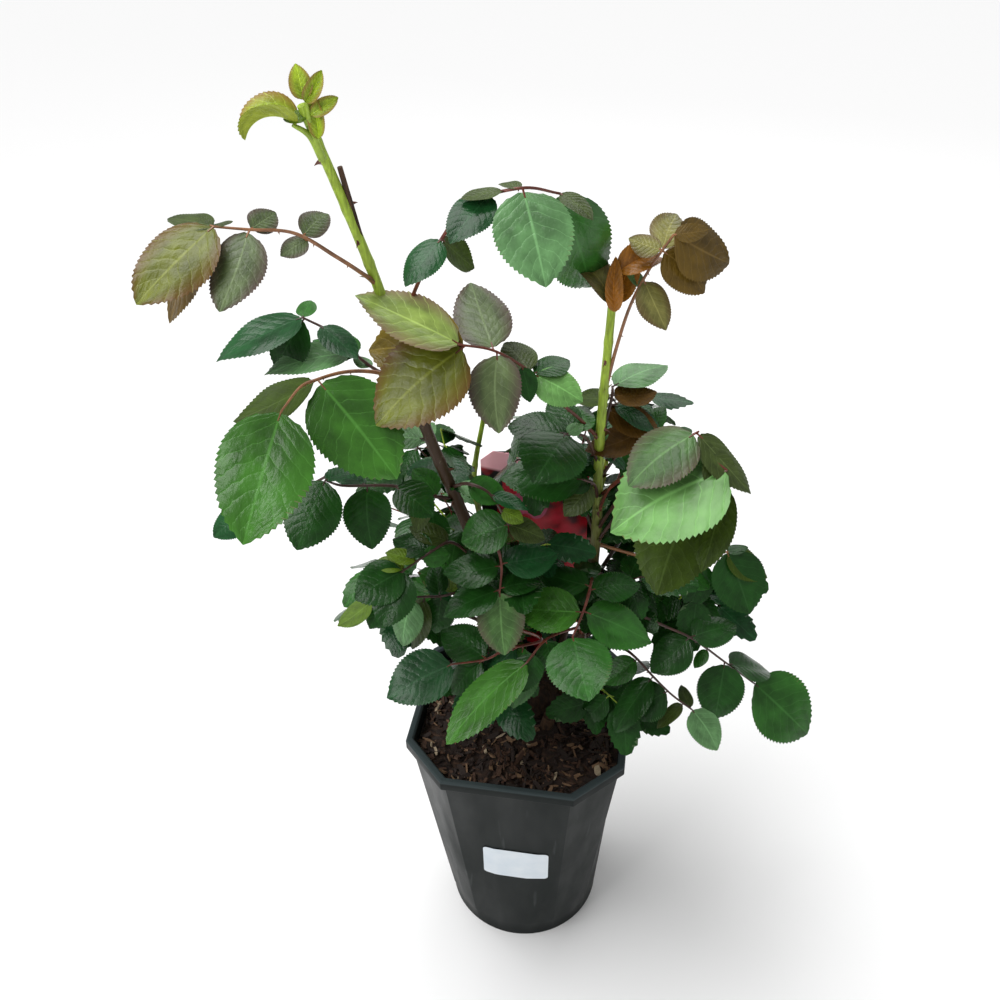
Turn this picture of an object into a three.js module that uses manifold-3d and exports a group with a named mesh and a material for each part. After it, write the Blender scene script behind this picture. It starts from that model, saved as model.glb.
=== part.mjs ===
// Rose bush in an octagonal nursery pot.
// Millimetres, +Z up, the origin at the centre of the pot's flat underside, the label on the -Y side.
// The pot, its compost, the canes and the leaf stalks are real solids. Each mass of leaves is one closed
// solid: either the leaflets of one large leaf, as thin pads joined along its stalk, or one lumpy body.

import * as THREE from 'three';
import { mergeVertices } from 'three/addons/utils/BufferGeometryUtils.js';
import Module from 'manifold-3d';

const wasm = await Module();
wasm.setup();

// ---------------------------------------------------------------- driving dimensions

const GAP = 0.45;
const TOLERANCE = 0.2;
const UP = new THREE.Vector3(0, 0, 1);

const potHeight = 277;
const potAcrossFlats = 205;
const potLongSide = 121;
const potFootRadius = 79;
const potFootBevel = 2;
const potTurnDegrees = -10.3;
const lipHeight = 12.5;
const lipOverhang = 4.8;
const lipWidth = 4.5;
const lipBevel = 1.2;
const lipUnderside = 0.1;
const potWall = 2.2;
const potFloor = 3;

const compostBelowRim = 15;
const compostShoulderDepth = 3;
const compostRoughness = 2.5;
const compostRingShares = [0.97, 0.62];
const compostTopShare = 0.3;

const labelWidth = 64;
const labelHeight = 48;
const labelThickness = 0.5;
const labelSide = 11;
const labelMiddle = 144;

const tagWidth = 100;
const tagTop = 528;
const tagCardFoot = 318;
const tagStakeWidth = 16;
const tagThickness = 1;
const tagShoulder = 14;
const tagCorner = 12;
const tagPanels = 6;
const tagBend = 110;
const tagCentre = [14, 62];

const graftRadius = 25;
const graftHeight = 30;
const graftPlace = [18, 18];
const graftSides = 12;
const graftLumpiness = 0.28;

const soilLevel = potHeight - compostBelowRim + compostRoughness;
const clearOfPot = 1;

const limbSides = 7;
const limbTaper = 0.8;
const stubSections = 2;

// ---------------------------------------------------------------- materials

function paint(red, green, blue, roughness) {
  const color = new THREE.Color().setRGB(red, green, blue, THREE.SRGBColorSpace);
  return new THREE.MeshStandardMaterial({ color, roughness, metalness: 0 });
}

const paints = {
  pot: () => paint(0.2, 0.22, 0.22, 0.5),
  compost: () => paint(0.2, 0.13, 0.09, 0.95),
  label: () => paint(0.86, 0.9, 0.93, 0.4),
  tag: () => paint(0.85, 0.35, 0.5, 0.35),
  oldWood: () => paint(0.3, 0.22, 0.16, 0.8),
  greenWood: () => paint(0.36, 0.42, 0.16, 0.6),
  stalk: () => paint(0.5, 0.24, 0.14, 0.6),
  deepLeaf: () => paint(0.1, 0.27, 0.13, 0.5),
  midLeaf: () => paint(0.22, 0.42, 0.16, 0.5),
  limeLeaf: () => paint(0.62, 0.72, 0.15, 0.5),
  bronzeLeaf: () => paint(0.42, 0.42, 0.22, 0.5),
  redLeaf: () => paint(0.42, 0.2, 0.08, 0.5),
};

// ---------------------------------------------------------------- solids

// A closed solid through a stack of rings that all hold the same number of points.
function solidFromRings(rings) {
  const sides = rings[0].length;
  const positions = rings.flat().flatMap((point) => [point.x, point.y, point.z]);
  const index = [];
  for (let ring = 0; ring + 1 < rings.length; ring += 1) {
    for (let side = 0; side < sides; side += 1) {
      const here = ring * sides + side;
      const next = ring * sides + ((side + 1) % sides);
      index.push(here, next, next + sides, here, next + sides, here + sides);
    }
  }
  const last = (rings.length - 1) * sides;
  for (let side = 1; side + 1 < sides; side += 1) {
    index.push(0, side + 1, side);
    index.push(last, last + side, last + side + 1);
  }
  const geometry = new THREE.BufferGeometry();
  geometry.setAttribute('position', new THREE.Float32BufferAttribute(positions, 3));
  geometry.setIndex(index);
  return geometry;
}

function toManifold(geometry) {
  const bare = geometry.clone();
  bare.deleteAttribute('normal');
  bare.deleteAttribute('uv');
  const merged = mergeVertices(bare, 1e-4);
  return new wasm.Manifold(new wasm.Mesh({
    numProp: 3,
    vertProperties: new Float32Array(merged.attributes.position.array),
    triVerts: new Uint32Array(merged.index.array),
  }));
}

function toGeometry(solid) {
  const mesh = solid.getMesh();
  const geometry = new THREE.BufferGeometry();
  geometry.setAttribute('position', new THREE.Float32BufferAttribute(mesh.vertProperties, 3));
  geometry.setIndex([...mesh.triVerts]);
  geometry.computeVertexNormals();
  return geometry;
}

function largestBody(solid) {
  const bodies = solid.decompose();
  return bodies.reduce((best, body) => (body.volume() > best.volume() ? body : best));
}

// A seeded stream of numbers from 0 to 1, so that the uneven shapes come out the same every time.
function seededNumbers(seed) {
  let state = seed;
  return () => {
    state = (state * 16807) % 2147483647;
    return state / 2147483647;
  };
}

const bush = new THREE.Group();

function addPart(name, geometry, material) {
  const mesh = new THREE.Mesh(geometry, material);
  mesh.name = name;
  bush.add(mesh);
}

// ---------------------------------------------------------------- pot, compost and label

const halfFlats = potAcrossFlats / 2;
const bodyTop = potHeight - lipHeight;
const bodyMiddle = bodyTop / 2;
const compostShoulder = potHeight - compostBelowRim - compostShoulderDepth;
const longSideRatio = potLongSide / potAcrossFlats;
const longSideSteps = 3;
const cornerSteps = 2;

// The directions of the outline's points: each corner of the octagon has a point of its own.
const outlineAngles = [];
const cornerAngle = Math.atan(longSideRatio);
for (let quarter = 0; quarter < 4; quarter += 1) {
  const middle = (quarter * Math.PI) / 2;
  for (let step = 0; step < longSideSteps; step += 1) {
    outlineAngles.push(middle - cornerAngle + (2 * cornerAngle * step) / longSideSteps);
  }
  for (let step = 0; step < cornerSteps; step += 1) {
    const across = Math.PI / 2 - 2 * cornerAngle;
    outlineAngles.push(middle + cornerAngle + (across * step) / cornerSteps);
  }
}

// Distance from the axis to an octagon of the given half width, in one direction.
function octagonRadius(angle, half) {
  const sides = [Math.abs(Math.cos(angle)), Math.abs(Math.sin(angle))].map((share) => half / share);
  const slanted = (half * (1 + longSideRatio)) / Math.SQRT2;
  const fromCorner = Math.abs(Math.cos(angle)) + Math.abs(Math.sin(angle));
  return Math.min(...sides, (slanted * Math.SQRT2) / fromCorner);
}

// The pot's outside is round at its foot and an octagon under its lip.
function bodyRadius(angle, height) {
  const share = Math.min(Math.max(height / bodyTop, 0), 1);
  const octagon = octagonRadius(angle, halfFlats - lipOverhang);
  return potFootRadius + (octagon - potFootRadius) * share;
}

function potRing(height, radiusAt) {
  return outlineAngles.map((angle) => {
    const radius = radiusAt(angle);
    return new THREE.Vector3(radius * Math.cos(angle), radius * Math.sin(angle), height);
  });
}

function bodyRing(height, inset) {
  return potRing(height, (angle) => bodyRadius(angle, height) - inset);
}

function lipRing(height, inset) {
  return potRing(height, (angle) => octagonRadius(angle, halfFlats - inset));
}

function turned(geometry) {
  return geometry.rotateZ(THREE.MathUtils.degToRad(potTurnDegrees));
}

// The outside of the pot's body without its lip, a little larger than it is.
function bodySolid(grow) {
  const heights = [0, bodyMiddle, bodyTop];
  return toManifold(solidFromRings(heights.map((height) => bodyRing(height, -grow))));
}

function potGeometry() {
  const outside = toManifold(solidFromRings([
    bodyRing(0, potFootBevel),
    bodyRing(potFootBevel, 0),
    bodyRing(bodyMiddle, 0),
    bodyRing(bodyTop, 0),
    lipRing(bodyTop + lipUnderside, lipBevel),
    lipRing(bodyTop + lipBevel, 0),
    lipRing(potHeight - lipBevel, 0),
    lipRing(potHeight, lipBevel),
  ]));
  const hollow = toManifold(solidFromRings([
    bodyRing(potFloor, potWall),
    bodyRing(bodyMiddle, potWall),
    bodyRing(compostShoulder, potWall),
    bodyRing(bodyTop, potWall),
    lipRing(potHeight - lipBevel * 2, lipOverhang + potWall),
    lipRing(potHeight + clearOfPot, lipWidth),
  ]));
  return turned(toGeometry(outside.subtract(hollow)));
}

function compostGeometry() {
  const random = seededNumbers(41);
  const rough = (ring, share) => ring.map((point) => new THREE.Vector3(
    point.x * share,
    point.y * share,
    point.z + (random() * 2 - 1) * compostRoughness,
  ));
  const top = potHeight - compostBelowRim;
  const inset = potWall + GAP;
  const rings = [
    bodyRing(potFloor + GAP, inset),
    bodyRing(bodyMiddle, inset),
    bodyRing(compostShoulder, inset),
  ];
  for (const share of compostRingShares) {
    rings.push(rough(bodyRing(top, inset), share));
  }
  const inwards = new THREE.Vector3(compostTopShare, compostTopShare, 1);
  rings.push(bodyRing(soilLevel - GAP, inset).map((point) => point.multiply(inwards)));
  return turned(solidFromRings(rings));
}

// The label is a patch of a thin skin round the pot's body.
function labelGeometry() {
  const skin = bodySolid(GAP + labelThickness).subtract(bodySolid(GAP));
  const patch = new THREE.BoxGeometry(labelWidth, potAcrossFlats, labelHeight);
  patch.translate(labelSide, -potAcrossFlats / 2, labelMiddle);
  return turned(toGeometry(skin.intersect(toManifold(patch))));
}

// ---------------------------------------------------------------- picture tag

// A thin card on a stake, bent round a little, standing in the compost behind the canes.
function tagRing(height, width, grow) {
  const front = [];
  const back = [];
  for (let step = 0; step <= tagPanels; step += 1) {
    const turn = (width * (step / tagPanels - 0.5)) / tagBend;
    const place = (radius) => new THREE.Vector3(
      tagCentre[0] + radius * Math.sin(turn),
      tagCentre[1] + tagBend - radius * Math.cos(turn),
      height,
    );
    front.push(place(tagBend + tagThickness / 2 + grow));
    back.unshift(place(tagBend - tagThickness / 2 - grow));
  }
  return [...front, ...back];
}

function tagGeometry(grow) {
  const wide = tagWidth + 2 * grow;
  const stake = tagStakeWidth + 2 * grow;
  return solidFromRings([
    tagRing(soilLevel + GAP, stake, grow),
    tagRing(tagCardFoot - tagShoulder, stake, grow),
    tagRing(tagCardFoot, wide, grow),
    tagRing(tagTop - tagCorner, wide, grow),
    tagRing(tagTop + grow, wide - 2 * tagCorner, grow),
  ]);
}

// ---------------------------------------------------------------- canes

// Each cane: the places it passes through, its radius at the foot and at the tip.
const canes = {
  cane_left: {
    knots: [[4, 14, 262], [-8, 12, 350], [-40, 2, 479], [-74, -15, 612], [-99, -34, 745], [-129, -52, 862]],
    foot: 7.5,
    tip: 3,
    paint: paints.greenWood,
    steps: 12,
  },
  cane_right: {
    knots: [[32, 12, 262], [53, 12, 350], [63, 8, 464], [62, 2, 583], [65, -6, 703]],
    foot: 6.5,
    tip: 3.2,
    paint: paints.greenWood,
    steps: 10,
  },
  cane_back: {
    knots: [[8, 32, 262], [-12, 62, 350], [-34, 60, 450], [-40, 54, 510], [-30, 52, 575]],
    foot: 5,
    tip: 2,
    paint: paints.greenWood,
    steps: 8,
  },
  cane_far: {
    knots: [[28, 34, 262], [56, 84, 350], [74, 104, 430], [84, 106, 510]],
    foot: 4.5,
    tip: 2,
    paint: paints.greenWood,
    steps: 8,
  },
};

for (const cane of Object.values(canes)) {
  cane.curve = new THREE.CatmullRomCurve3(cane.knots.map((knot) => new THREE.Vector3(...knot)));
}

// A round limb along a curve, tapering from one radius to another, its ends cut square, all of it larger
// by grow.
function limbGeometry(curve, foot, tip, steps, sides, grow) {
  const frames = curve.computeFrenetFrames(steps, false);
  const rings = [];
  for (let step = 0; step <= steps; step += 1) {
    const middle = curve.getPointAt(step / steps);
    const beyond = (step === steps ? grow : 0) - (step === 0 ? grow : 0);
    middle.addScaledVector(frames.tangents[step], beyond);
    const radius = foot + (tip - foot) * (step / steps) ** limbTaper + grow;
    const ring = [];
    for (let side = 0; side < sides; side += 1) {
      const angle = (2 * Math.PI * side) / sides;
      const point = middle.clone();
      point.addScaledVector(frames.normals[step], radius * Math.cos(angle));
      point.addScaledVector(frames.binormals[step], radius * Math.sin(angle));
      ring.push(point);
    }
    rings.push(ring);
  }
  return solidFromRings(rings);
}

function caneSolid(cane, grow) {
  return toManifold(limbGeometry(cane.curve, cane.foot, cane.tip, cane.steps, limbSides, grow));
}

// The point of a cane's middle line at a height.
function onCane(name, height) {
  const points = canes[name].curve.getPoints(200);
  return points.reduce((best, point) => (Math.abs(point.z - height) < Math.abs(best.z - height) ? point : best));
}

// The swollen union that the canes grow from, cut flat where it meets the compost.
function graftSolid(grow) {
  const middle = new THREE.Vector3(...graftPlace, soilLevel + GAP);
  const random = seededNumbers(7);
  const lumps = Array.from({ length: graftSides }, () => 1 + graftLumpiness * (random() - 0.5));
  const rings = [];
  for (const [share, wide] of [[0, 1.15], [0.25, 1], [0.6, 0.86], [0.88, 0.62], [1, 0.3]]) {
    rings.push(lumps.map((lump, side) => {
      const angle = (2 * Math.PI * side) / lumps.length;
      const radius = graftRadius * wide * lump + grow;
      const rise = graftHeight * share + (share > 0 ? grow : 0);
      return new THREE.Vector3(radius * Math.cos(angle), radius * Math.sin(angle), rise).add(middle);
    }));
  }
  return toManifold(solidFromRings(rings));
}

// Short cut-off ends beside the graft, and the dead side shoot high on the left cane.
const stubs = {
  stub_grey: { from: [-14, -10, soilLevel + GAP], to: [-16, -14, soilLevel + 22], foot: 6, tip: 5 },
  stub_brown: { from: [22, -16, soilLevel + GAP], to: [24, -22, soilLevel + 20], foot: 6.5, tip: 5.5 },
  stub_dead: { from: [-107, -39, 778], to: [-115, -33, 822], foot: 2.2, tip: 1.8 },
};

function stubSolid(stub, grow) {
  const curve = new THREE.LineCurve3(new THREE.Vector3(...stub.from), new THREE.Vector3(...stub.to));
  return toManifold(limbGeometry(curve, stub.foot, stub.tip, stubSections, limbSides, grow));
}

// ---------------------------------------------------------------- large leaves

// Each leaf: where its stalk leaves its cane, where the stalk ends and the last leaflet begins, and that
// leaflet's tip. bow lifts the stalk's middle. bare is the share of it before the first pair. size is the
// first pair's length beside the last leaflet's, and shrink what each further pair loses. droop and spread
// are the pairs' angles, and roll turns the whole leaf about its stalk, in degrees.
const leaves = {
  leaf_top_left: {
    cane: 'cane_left', height: 739, end: [-187, -80, 797], tip: [-236, -105, 773], bow: 12, pairs: 2, bare: 0.34,
    size: 0.92, shrink: 0.3, droop: 35, spread: 60, roll: 10, stalk: true, paint: paints.bronzeLeaf,
  },
  leaf_top_centre: {
    cane: 'cane_left', height: 690, end: [19, -60, 811], tip: [55, -92, 738], bow: 26, pairs: 3, bare: 0.36,
    size: 0.86, shrink: 0.3, droop: 45, spread: 72, roll: -15, stalk: true, paint: paints.midLeaf,
  },
  leaf_centre: {
    cane: 'cane_right', height: 583, end: [-40, -45, 696], tip: [-100, -71, 654], bow: 12, pairs: 3, bare: 0.3,
    size: 0.9, shrink: 0.22, droop: 5, spread: 66, roll: 60, stalk: true, paint: paints.bronzeLeaf,
  },
  leaf_young_right: {
    cane: 'cane_right', height: 622, end: [101, -15, 756], tip: [144, -24, 742], bow: 4, pairs: 2, bare: 0.66,
    size: 0.9, shrink: 0.1, droop: 30, spread: 70, roll: -30, stalk: true, paint: paints.redLeaf,
  },
  leaf_left_upper: {
    cane: 'cane_left', height: 680, end: [-159, 0, 703], tip: [-221, -14, 682], bow: 14, pairs: 2, bare: 0.3,
    size: 0.9, shrink: 0.15, droop: 30, spread: 55, roll: 20, stalk: false, paint: paints.deepLeaf,
  },
  leaf_left_large: {
    cane: 'cane_left', height: 655, end: [-157, -110, 686], tip: [-190, -156, 624], bow: 16, pairs: 1, bare: 0.5,
    size: 0.95, shrink: 0, droop: 32, spread: 90, roll: 0, stalk: true, paint: paints.midLeaf,
  },
  leaf_left_lower: {
    cane: 'cane_left', height: 531, end: [-147, -60, 594], tip: [-174, -90, 556], bow: 12, pairs: 2, bare: 0.3,
    size: 0.95, shrink: 0.1, droop: 50, spread: 80, roll: 0, stalk: true, paint: paints.deepLeaf,
  },
  leaf_shoulder_upper: {
    cane: 'cane_right', height: 524, end: [124, -70, 641], tip: [166, -97, 606], bow: 14, pairs: 1, bare: 0.6,
    size: 1.05, shrink: 0, droop: 12, spread: 110, roll: -12, stalk: true, paint: paints.midLeaf,
  },
  leaf_shoulder_lower: {
    cane: 'cane_right', height: 505, end: [143, -90, 611], tip: [58, -129, 606], bow: 12, pairs: 0, bare: 0.9,
    size: 1, shrink: 0, droop: 0, spread: 0, roll: 0, stalk: false, paint: paints.midLeaf,
  },
  leaf_shoulder_side: {
    cane: 'cane_right', height: 488, end: [140, -80, 600], tip: [134, -114, 552], bow: 8, pairs: 0, bare: 0.9,
    size: 1, shrink: 0, droop: 0, spread: 0, roll: 0, stalk: false, paint: paints.midLeaf,
  },
  leaf_shoulder_under: {
    cane: 'cane_right', height: 470, end: [112, -62, 572], tip: [94, -104, 516], bow: 8, pairs: 0, bare: 0.9,
    size: 1, shrink: 0, droop: 0, spread: 0, roll: 0, stalk: false, paint: paints.midLeaf,
  },
  leaf_right_back: {
    cane: 'cane_right', height: 575, end: [74, 28, 614], tip: [120, 58, 625], bow: 4, pairs: 0, bare: 0.9,
    size: 1, shrink: 0, droop: 0, spread: 0, roll: -30, stalk: false, paint: paints.deepLeaf,
  },
  leaf_low_outer: {
    cane: 'cane_right', height: 392, end: [211, -30, 332], tip: [262, -60, 293], bow: 10, pairs: 2, bare: 0.42,
    size: 0.78, shrink: 0.1, droop: 5, spread: 80, roll: -40, stalk: true, paint: paints.deepLeaf,
  },
  leaf_low_inner: {
    cane: 'cane_right', height: 345, end: [147, -60, 335], tip: [168, -83, 303], bow: 10, pairs: 2, bare: 0.45,
    size: 0.95, shrink: 0.15, droop: 15, spread: 65, roll: -30, stalk: true, paint: paints.deepLeaf,
  },
  leaf_front: {
    cane: 'cane_right', height: 430, end: [36, -86, 441], tip: [44, -142, 404], bow: 8, pairs: 2, bare: 0.3,
    size: 0.95, shrink: 0.2, droop: 0, spread: 78, roll: 0, stalk: false, paint: paints.midLeaf,
  },
  leaf_front_low: {
    cane: 'cane_right', height: 360, end: [0, -82, 418], tip: [-68, -129, 387], bow: 14, pairs: 1, bare: 0.6,
    size: 0.6, shrink: 0, droop: 30, spread: 65, roll: 10, stalk: false, paint: paints.midLeaf,
  },
  leaf_left_front: {
    cane: 'cane_left', height: 372, end: [-63, -62, 406], tip: [-117, -80, 384], bow: 10, pairs: 1, bare: 0.4,
    size: 0.85, shrink: 0.15, droop: 5, spread: 60, roll: 20, stalk: false, paint: paints.deepLeaf,
  },
};

const leafletWidth = 0.7;
const leafletThickness = 11;
const leafletMargin = 3;
const leafletHang = 0.12;
const stalkFoot = 2.4;
const stalkTip = 1.5;
const stalkSections = 4;
const stalkSides = 6;
const ribFoot = 3.4;
const ribTip = 2.4;
const ribSections = 3;
const ribSides = 5;
const ribStart = 0.04;
const joinOverlap = 0.05;
const lastPairShare = 0.2;

// The egg-shaped outline of a leaflet: shares of its length, each with its share of the full width.
const outlineStations = [[0, 0.3], [0.28, 1], [0.7, 0.82], [1, 0.12]];

// One cross-section of a leaflet's pad. onward is -1 where the pad is followed from the tip to the base.
function padRing(blade, station, onward, grow) {
  const [along, share] = station;
  const wide = ((blade.length * leafletWidth) / 2) * share + leafletMargin / 2 + grow;
  const deep = leafletThickness / 2 + grow;
  const forward = new THREE.Vector3().crossVectors(blade.normal, blade.direction).multiplyScalar(onward);
  const middle = blade.base.clone();
  middle.addScaledVector(blade.direction, (blade.length + leafletMargin + grow) * along);
  middle.addScaledVector(blade.normal, -leafletHang * blade.length * along * along);
  const corners = [[1, 0], [0, 1], [-1, 0], [0, -1]];
  return corners.map(([across, over]) => (
    middle.clone().addScaledVector(forward, across * wide).addScaledVector(blade.normal, over * deep)
  ));
}

// The pad of a last leaflet, or of a pair that faces each other across the stalk.
function padSolid(blades, grow) {
  const last = blades[blades.length - 1];
  const rings = outlineStations.map((station) => padRing(last, station, 1, grow));
  if (blades.length === 2) {
    for (const station of outlineStations.slice(1)) {
      rings.unshift(padRing(blades[0], station, -1, grow));
    }
  } else {
    rings[0].forEach((point) => point.addScaledVector(last.direction, -grow));
  }
  return toManifold(solidFromRings(rings));
}

function leafStalk(leaf) {
  const from = onCane(leaf.cane, leaf.height);
  const end = new THREE.Vector3(...leaf.end);
  const middle = from.clone().lerp(end, 0.5).addScaledVector(UP, leaf.bow * 2);
  return new THREE.QuadraticBezierCurve3(from, middle, end);
}

// The directions to the right of a stalk and over it, turned about it by an angle in degrees.
function aboutStalk(tangent, roll) {
  const right = new THREE.Vector3().crossVectors(tangent, UP).normalize();
  right.applyAxisAngle(tangent, -THREE.MathUtils.degToRad(roll));
  return { right, over: new THREE.Vector3().crossVectors(right, tangent) };
}

// The leaflets of one leaf, the last one first and then the pairs, each blade with its base, direction,
// upper side and length.
function bladesOf(leaf) {
  const stalk = leafStalk(leaf);
  const base = stalk.getPoint(1 - joinOverlap);
  const direction = new THREE.Vector3(...leaf.tip).sub(base);
  const length = direction.length();
  direction.normalize();
  const across = aboutStalk(stalk.getTangent(1), leaf.roll).right;
  const blades = [[{ base, direction, normal: across.clone().cross(direction).normalize(), length }]];
  const spread = THREE.MathUtils.degToRad(leaf.spread);
  const droop = THREE.MathUtils.degToRad(leaf.droop);
  for (let pair = 1; pair <= leaf.pairs; pair += 1) {
    const share = 1 - ((1 - leaf.bare) * pair) / (leaf.pairs + lastPairShare);
    const tangent = stalk.getTangent(share);
    const { right, over } = aboutStalk(tangent, leaf.roll);
    blades.push([-1, 1].map((hand) => {
      const outward = right.clone().multiplyScalar(hand * Math.cos(droop)).addScaledVector(over, -Math.sin(droop));
      return {
        base: stalk.getPoint(share),
        direction: tangent.clone().multiplyScalar(Math.cos(spread)).addScaledVector(outward, Math.sin(spread)),
        normal: over.clone().multiplyScalar(Math.cos(droop)).addScaledVector(right, hand * Math.sin(droop)),
        length: length * leaf.size * (1 - leaf.shrink * (pair - 1)),
      };
    }));
  }
  return blades;
}

// The stretch of a leaf's stalk between two shares of its length.
function stalkStretch(leaf, from, to) {
  const stalk = leafStalk(leaf);
  const points = [0, 0.25, 0.5, 0.75, 1].map((share) => stalk.getPoint(from + (to - from) * share));
  return new THREE.CatmullRomCurve3(points);
}

function leafSolid(leaf, grow) {
  const start = leaf.stalk ? leaf.bare - joinOverlap : ribStart;
  const stretch = stalkStretch(leaf, start, 1);
  const rib = toManifold(limbGeometry(stretch, ribFoot, ribTip, ribSections, ribSides, grow));
  return bladesOf(leaf).reduce((whole, blades) => whole.add(padSolid(blades, grow)), rib);
}

function stalkSolid(leaf, grow) {
  const stretch = stalkStretch(leaf, 0, leaf.bare);
  return toManifold(limbGeometry(stretch, stalkFoot, stalkTip, stalkSections, stalkSides, grow));
}

// ---------------------------------------------------------------- young leaves at the shoot tips

// Each leaf of a shoot tip is an azimuth and an elevation in degrees and a length.
const shootTips = {
  shoot_tip_left: {
    base: [-130, -53, 866], paint: paints.limeLeaf,
    young: [[205, -14, 34], [140, 50, 16], [10, 20, 18]],
  },
  shoot_tip_right: {
    base: [65, -6, 708], paint: paints.redLeaf,
    young: [[225, 12, 34], [80, 66, 34], [20, 52, 40], [130, 30, 30]],
  },
};

function shootTipSolid(shoot, grow) {
  const base = new THREE.Vector3(...shoot.base);
  const pads = shoot.young.map(([azimuth, elevation, length]) => {
    const flat = THREE.MathUtils.degToRad(azimuth);
    const rise = THREE.MathUtils.degToRad(elevation);
    const direction = new THREE.Vector3(
      Math.cos(rise) * Math.cos(flat),
      Math.cos(rise) * Math.sin(flat),
      Math.sin(rise),
    );
    return padSolid([{ base, direction, normal: aboutStalk(direction, 0).over, length }], grow);
  });
  return pads.reduce((whole, pad) => whole.add(pad));
}

// ---------------------------------------------------------------- dense masses

// Each mass: its middle, its half sizes along X, Y and Z, and the seed of its lumps.
const masses = {
  mass_centre_high: { middle: [26, 30, 558], half: [50, 40, 46], seed: 11 },
  mass_behind_right: { middle: [92, 66, 566], half: [40, 34, 28], seed: 12 },
  mass_left_middle: { middle: [-76, 34, 548], half: [42, 38, 44], seed: 13 },
  mass_left_low: { middle: [-112, 12, 420], half: [52, 44, 50], seed: 14 },
  mass_front_middle: { middle: [-2, -34, 480], half: [46, 26, 44], seed: 15 },
  mass_front_right: { middle: [78, -30, 440], half: [46, 30, 38], seed: 16 },
  mass_right_middle: { middle: [122, 44, 486], half: [50, 44, 48], seed: 17 },
  mass_right_low: { middle: [160, 20, 402], half: [56, 42, 40], seed: 18 },
  mass_front_left_foot: { middle: [-36, -44, 350], half: [48, 34, 40], seed: 19 },
  mass_front_right_foot: { middle: [80, -34, 320], half: [42, 34, 32], seed: 20 },
  mass_back_left: { middle: [-82, 84, 440], half: [56, 50, 62], seed: 21 },
  mass_back_middle: { middle: [4, 122, 440], half: [52, 40, 70], seed: 22 },
  mass_back_right: { middle: [96, 118, 440], half: [56, 44, 62], seed: 23 },
  mass_back_foot: { middle: [14, 92, 346], half: [60, 42, 40], seed: 25 },
};

const massDetail = 1;
const massWaves = 5;
const massSwell = 0.075;

function massSolid(mass, grow) {
  const random = seededNumbers(mass.seed);
  const waves = Array.from({ length: massWaves }, () => ({
    way: new THREE.Vector3(random() - 0.5, random() - 0.5, random() - 0.5).normalize(),
    count: 3 + 6 * random(),
    start: 2 * Math.PI * random(),
  }));
  const geometry = new THREE.IcosahedronGeometry(1, massDetail);
  const place = geometry.attributes.position;
  const point = new THREE.Vector3();
  for (let corner = 0; corner < place.count; corner += 1) {
    point.fromBufferAttribute(place, corner).normalize();
    let swell = 1;
    for (const wave of waves) {
      swell += massSwell * Math.sin(wave.count * point.dot(wave.way) + wave.start);
    }
    const reach = new THREE.Vector3(...mass.half).multiplyScalar(swell).addScalar(grow);
    point.multiply(reach).add(new THREE.Vector3(...mass.middle));
    place.setXYZ(corner, point.x, point.y, point.z);
  }
  return toManifold(geometry);
}

// ---------------------------------------------------------------- the whole plant

// The space of the compost, on which the wood is cut flat, and that of the whole pot, above which the
// foliage stays.
function compostSpace() {
  return toManifold(turned(solidFromRings([bodyRing(0, 0), bodyRing(soilLevel + GAP, 0)])));
}

function potSpace() {
  return toManifold(turned(solidFromRings([
    bodyRing(0, 0),
    lipRing(bodyTop, -clearOfPot),
    lipRing(potHeight + clearOfPot, -clearOfPot),
  ])));
}

// What is already in place, each a little larger than it is: every later solid is cut round it.
const placed = [compostSpace(), toManifold(tagGeometry(GAP))];

function plant(name, solidOf, material) {
  const whole = placed.reduce((rest, other) => rest.subtract(other), solidOf(0));
  addPart(name, toGeometry(largestBody(whole.asOriginal().simplify(TOLERANCE))), material);
  placed.push(solidOf(GAP));
}

addPart('pot', potGeometry(), paints.pot());
addPart('compost', compostGeometry(), paints.compost());
addPart('label', labelGeometry(), paints.label());
addPart('tag', tagGeometry(0), paints.tag());

plant('graft', graftSolid, paints.oldWood());
for (const [name, cane] of Object.entries(canes)) {
  plant(name, (grow) => caneSolid(cane, grow), cane.paint());
}
for (const [name, stub] of Object.entries(stubs)) {
  plant(name, (grow) => stubSolid(stub, grow), paints.oldWood());
}
for (const [name, leaf] of Object.entries(leaves)) {
  if (leaf.stalk) {
    plant(name.replace('leaf', 'stalk'), (grow) => stalkSolid(leaf, grow), paints.stalk());
  }
}

placed.push(potSpace());
for (const [name, leaf] of Object.entries(leaves)) {
  plant(name, (grow) => leafSolid(leaf, grow), leaf.paint());
}
for (const [name, shoot] of Object.entries(shootTips)) {
  plant(name, (grow) => shootTipSolid(shoot, grow), shoot.paint());
}
for (const [name, mass] of Object.entries(masses)) {
  plant(name, (grow) => massSolid(mass, grow), paints.deepLeaf());
}

export default bush;
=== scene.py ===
"""Rose bush in an octagonal nursery pot: bark, thorns, serrated leaflets, bark compost and a moulded pot."""

import math
from collections import namedtuple
from contextlib import contextmanager
from functools import lru_cache

import bpy
import numpy as np
from bpy.props import FloatProperty, FloatVectorProperty, IntProperty, PointerProperty
from mathutils import Matrix, Vector


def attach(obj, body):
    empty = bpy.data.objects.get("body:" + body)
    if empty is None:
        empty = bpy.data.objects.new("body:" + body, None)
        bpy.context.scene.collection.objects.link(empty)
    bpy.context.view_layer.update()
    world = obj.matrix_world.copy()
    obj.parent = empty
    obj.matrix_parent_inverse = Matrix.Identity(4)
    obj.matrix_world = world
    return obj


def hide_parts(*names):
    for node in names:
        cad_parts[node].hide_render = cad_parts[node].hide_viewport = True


bl_info = {
    "name": "Potted Rose Bush",
    "version": (1, 0, 0),
    "blender": (4, 5, 0),
    "location": "View3D > Sidebar > Rose Bush",
    "description": "Builds a potted rose bush round its construction model",
    "category": "Add Mesh",
}

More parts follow.
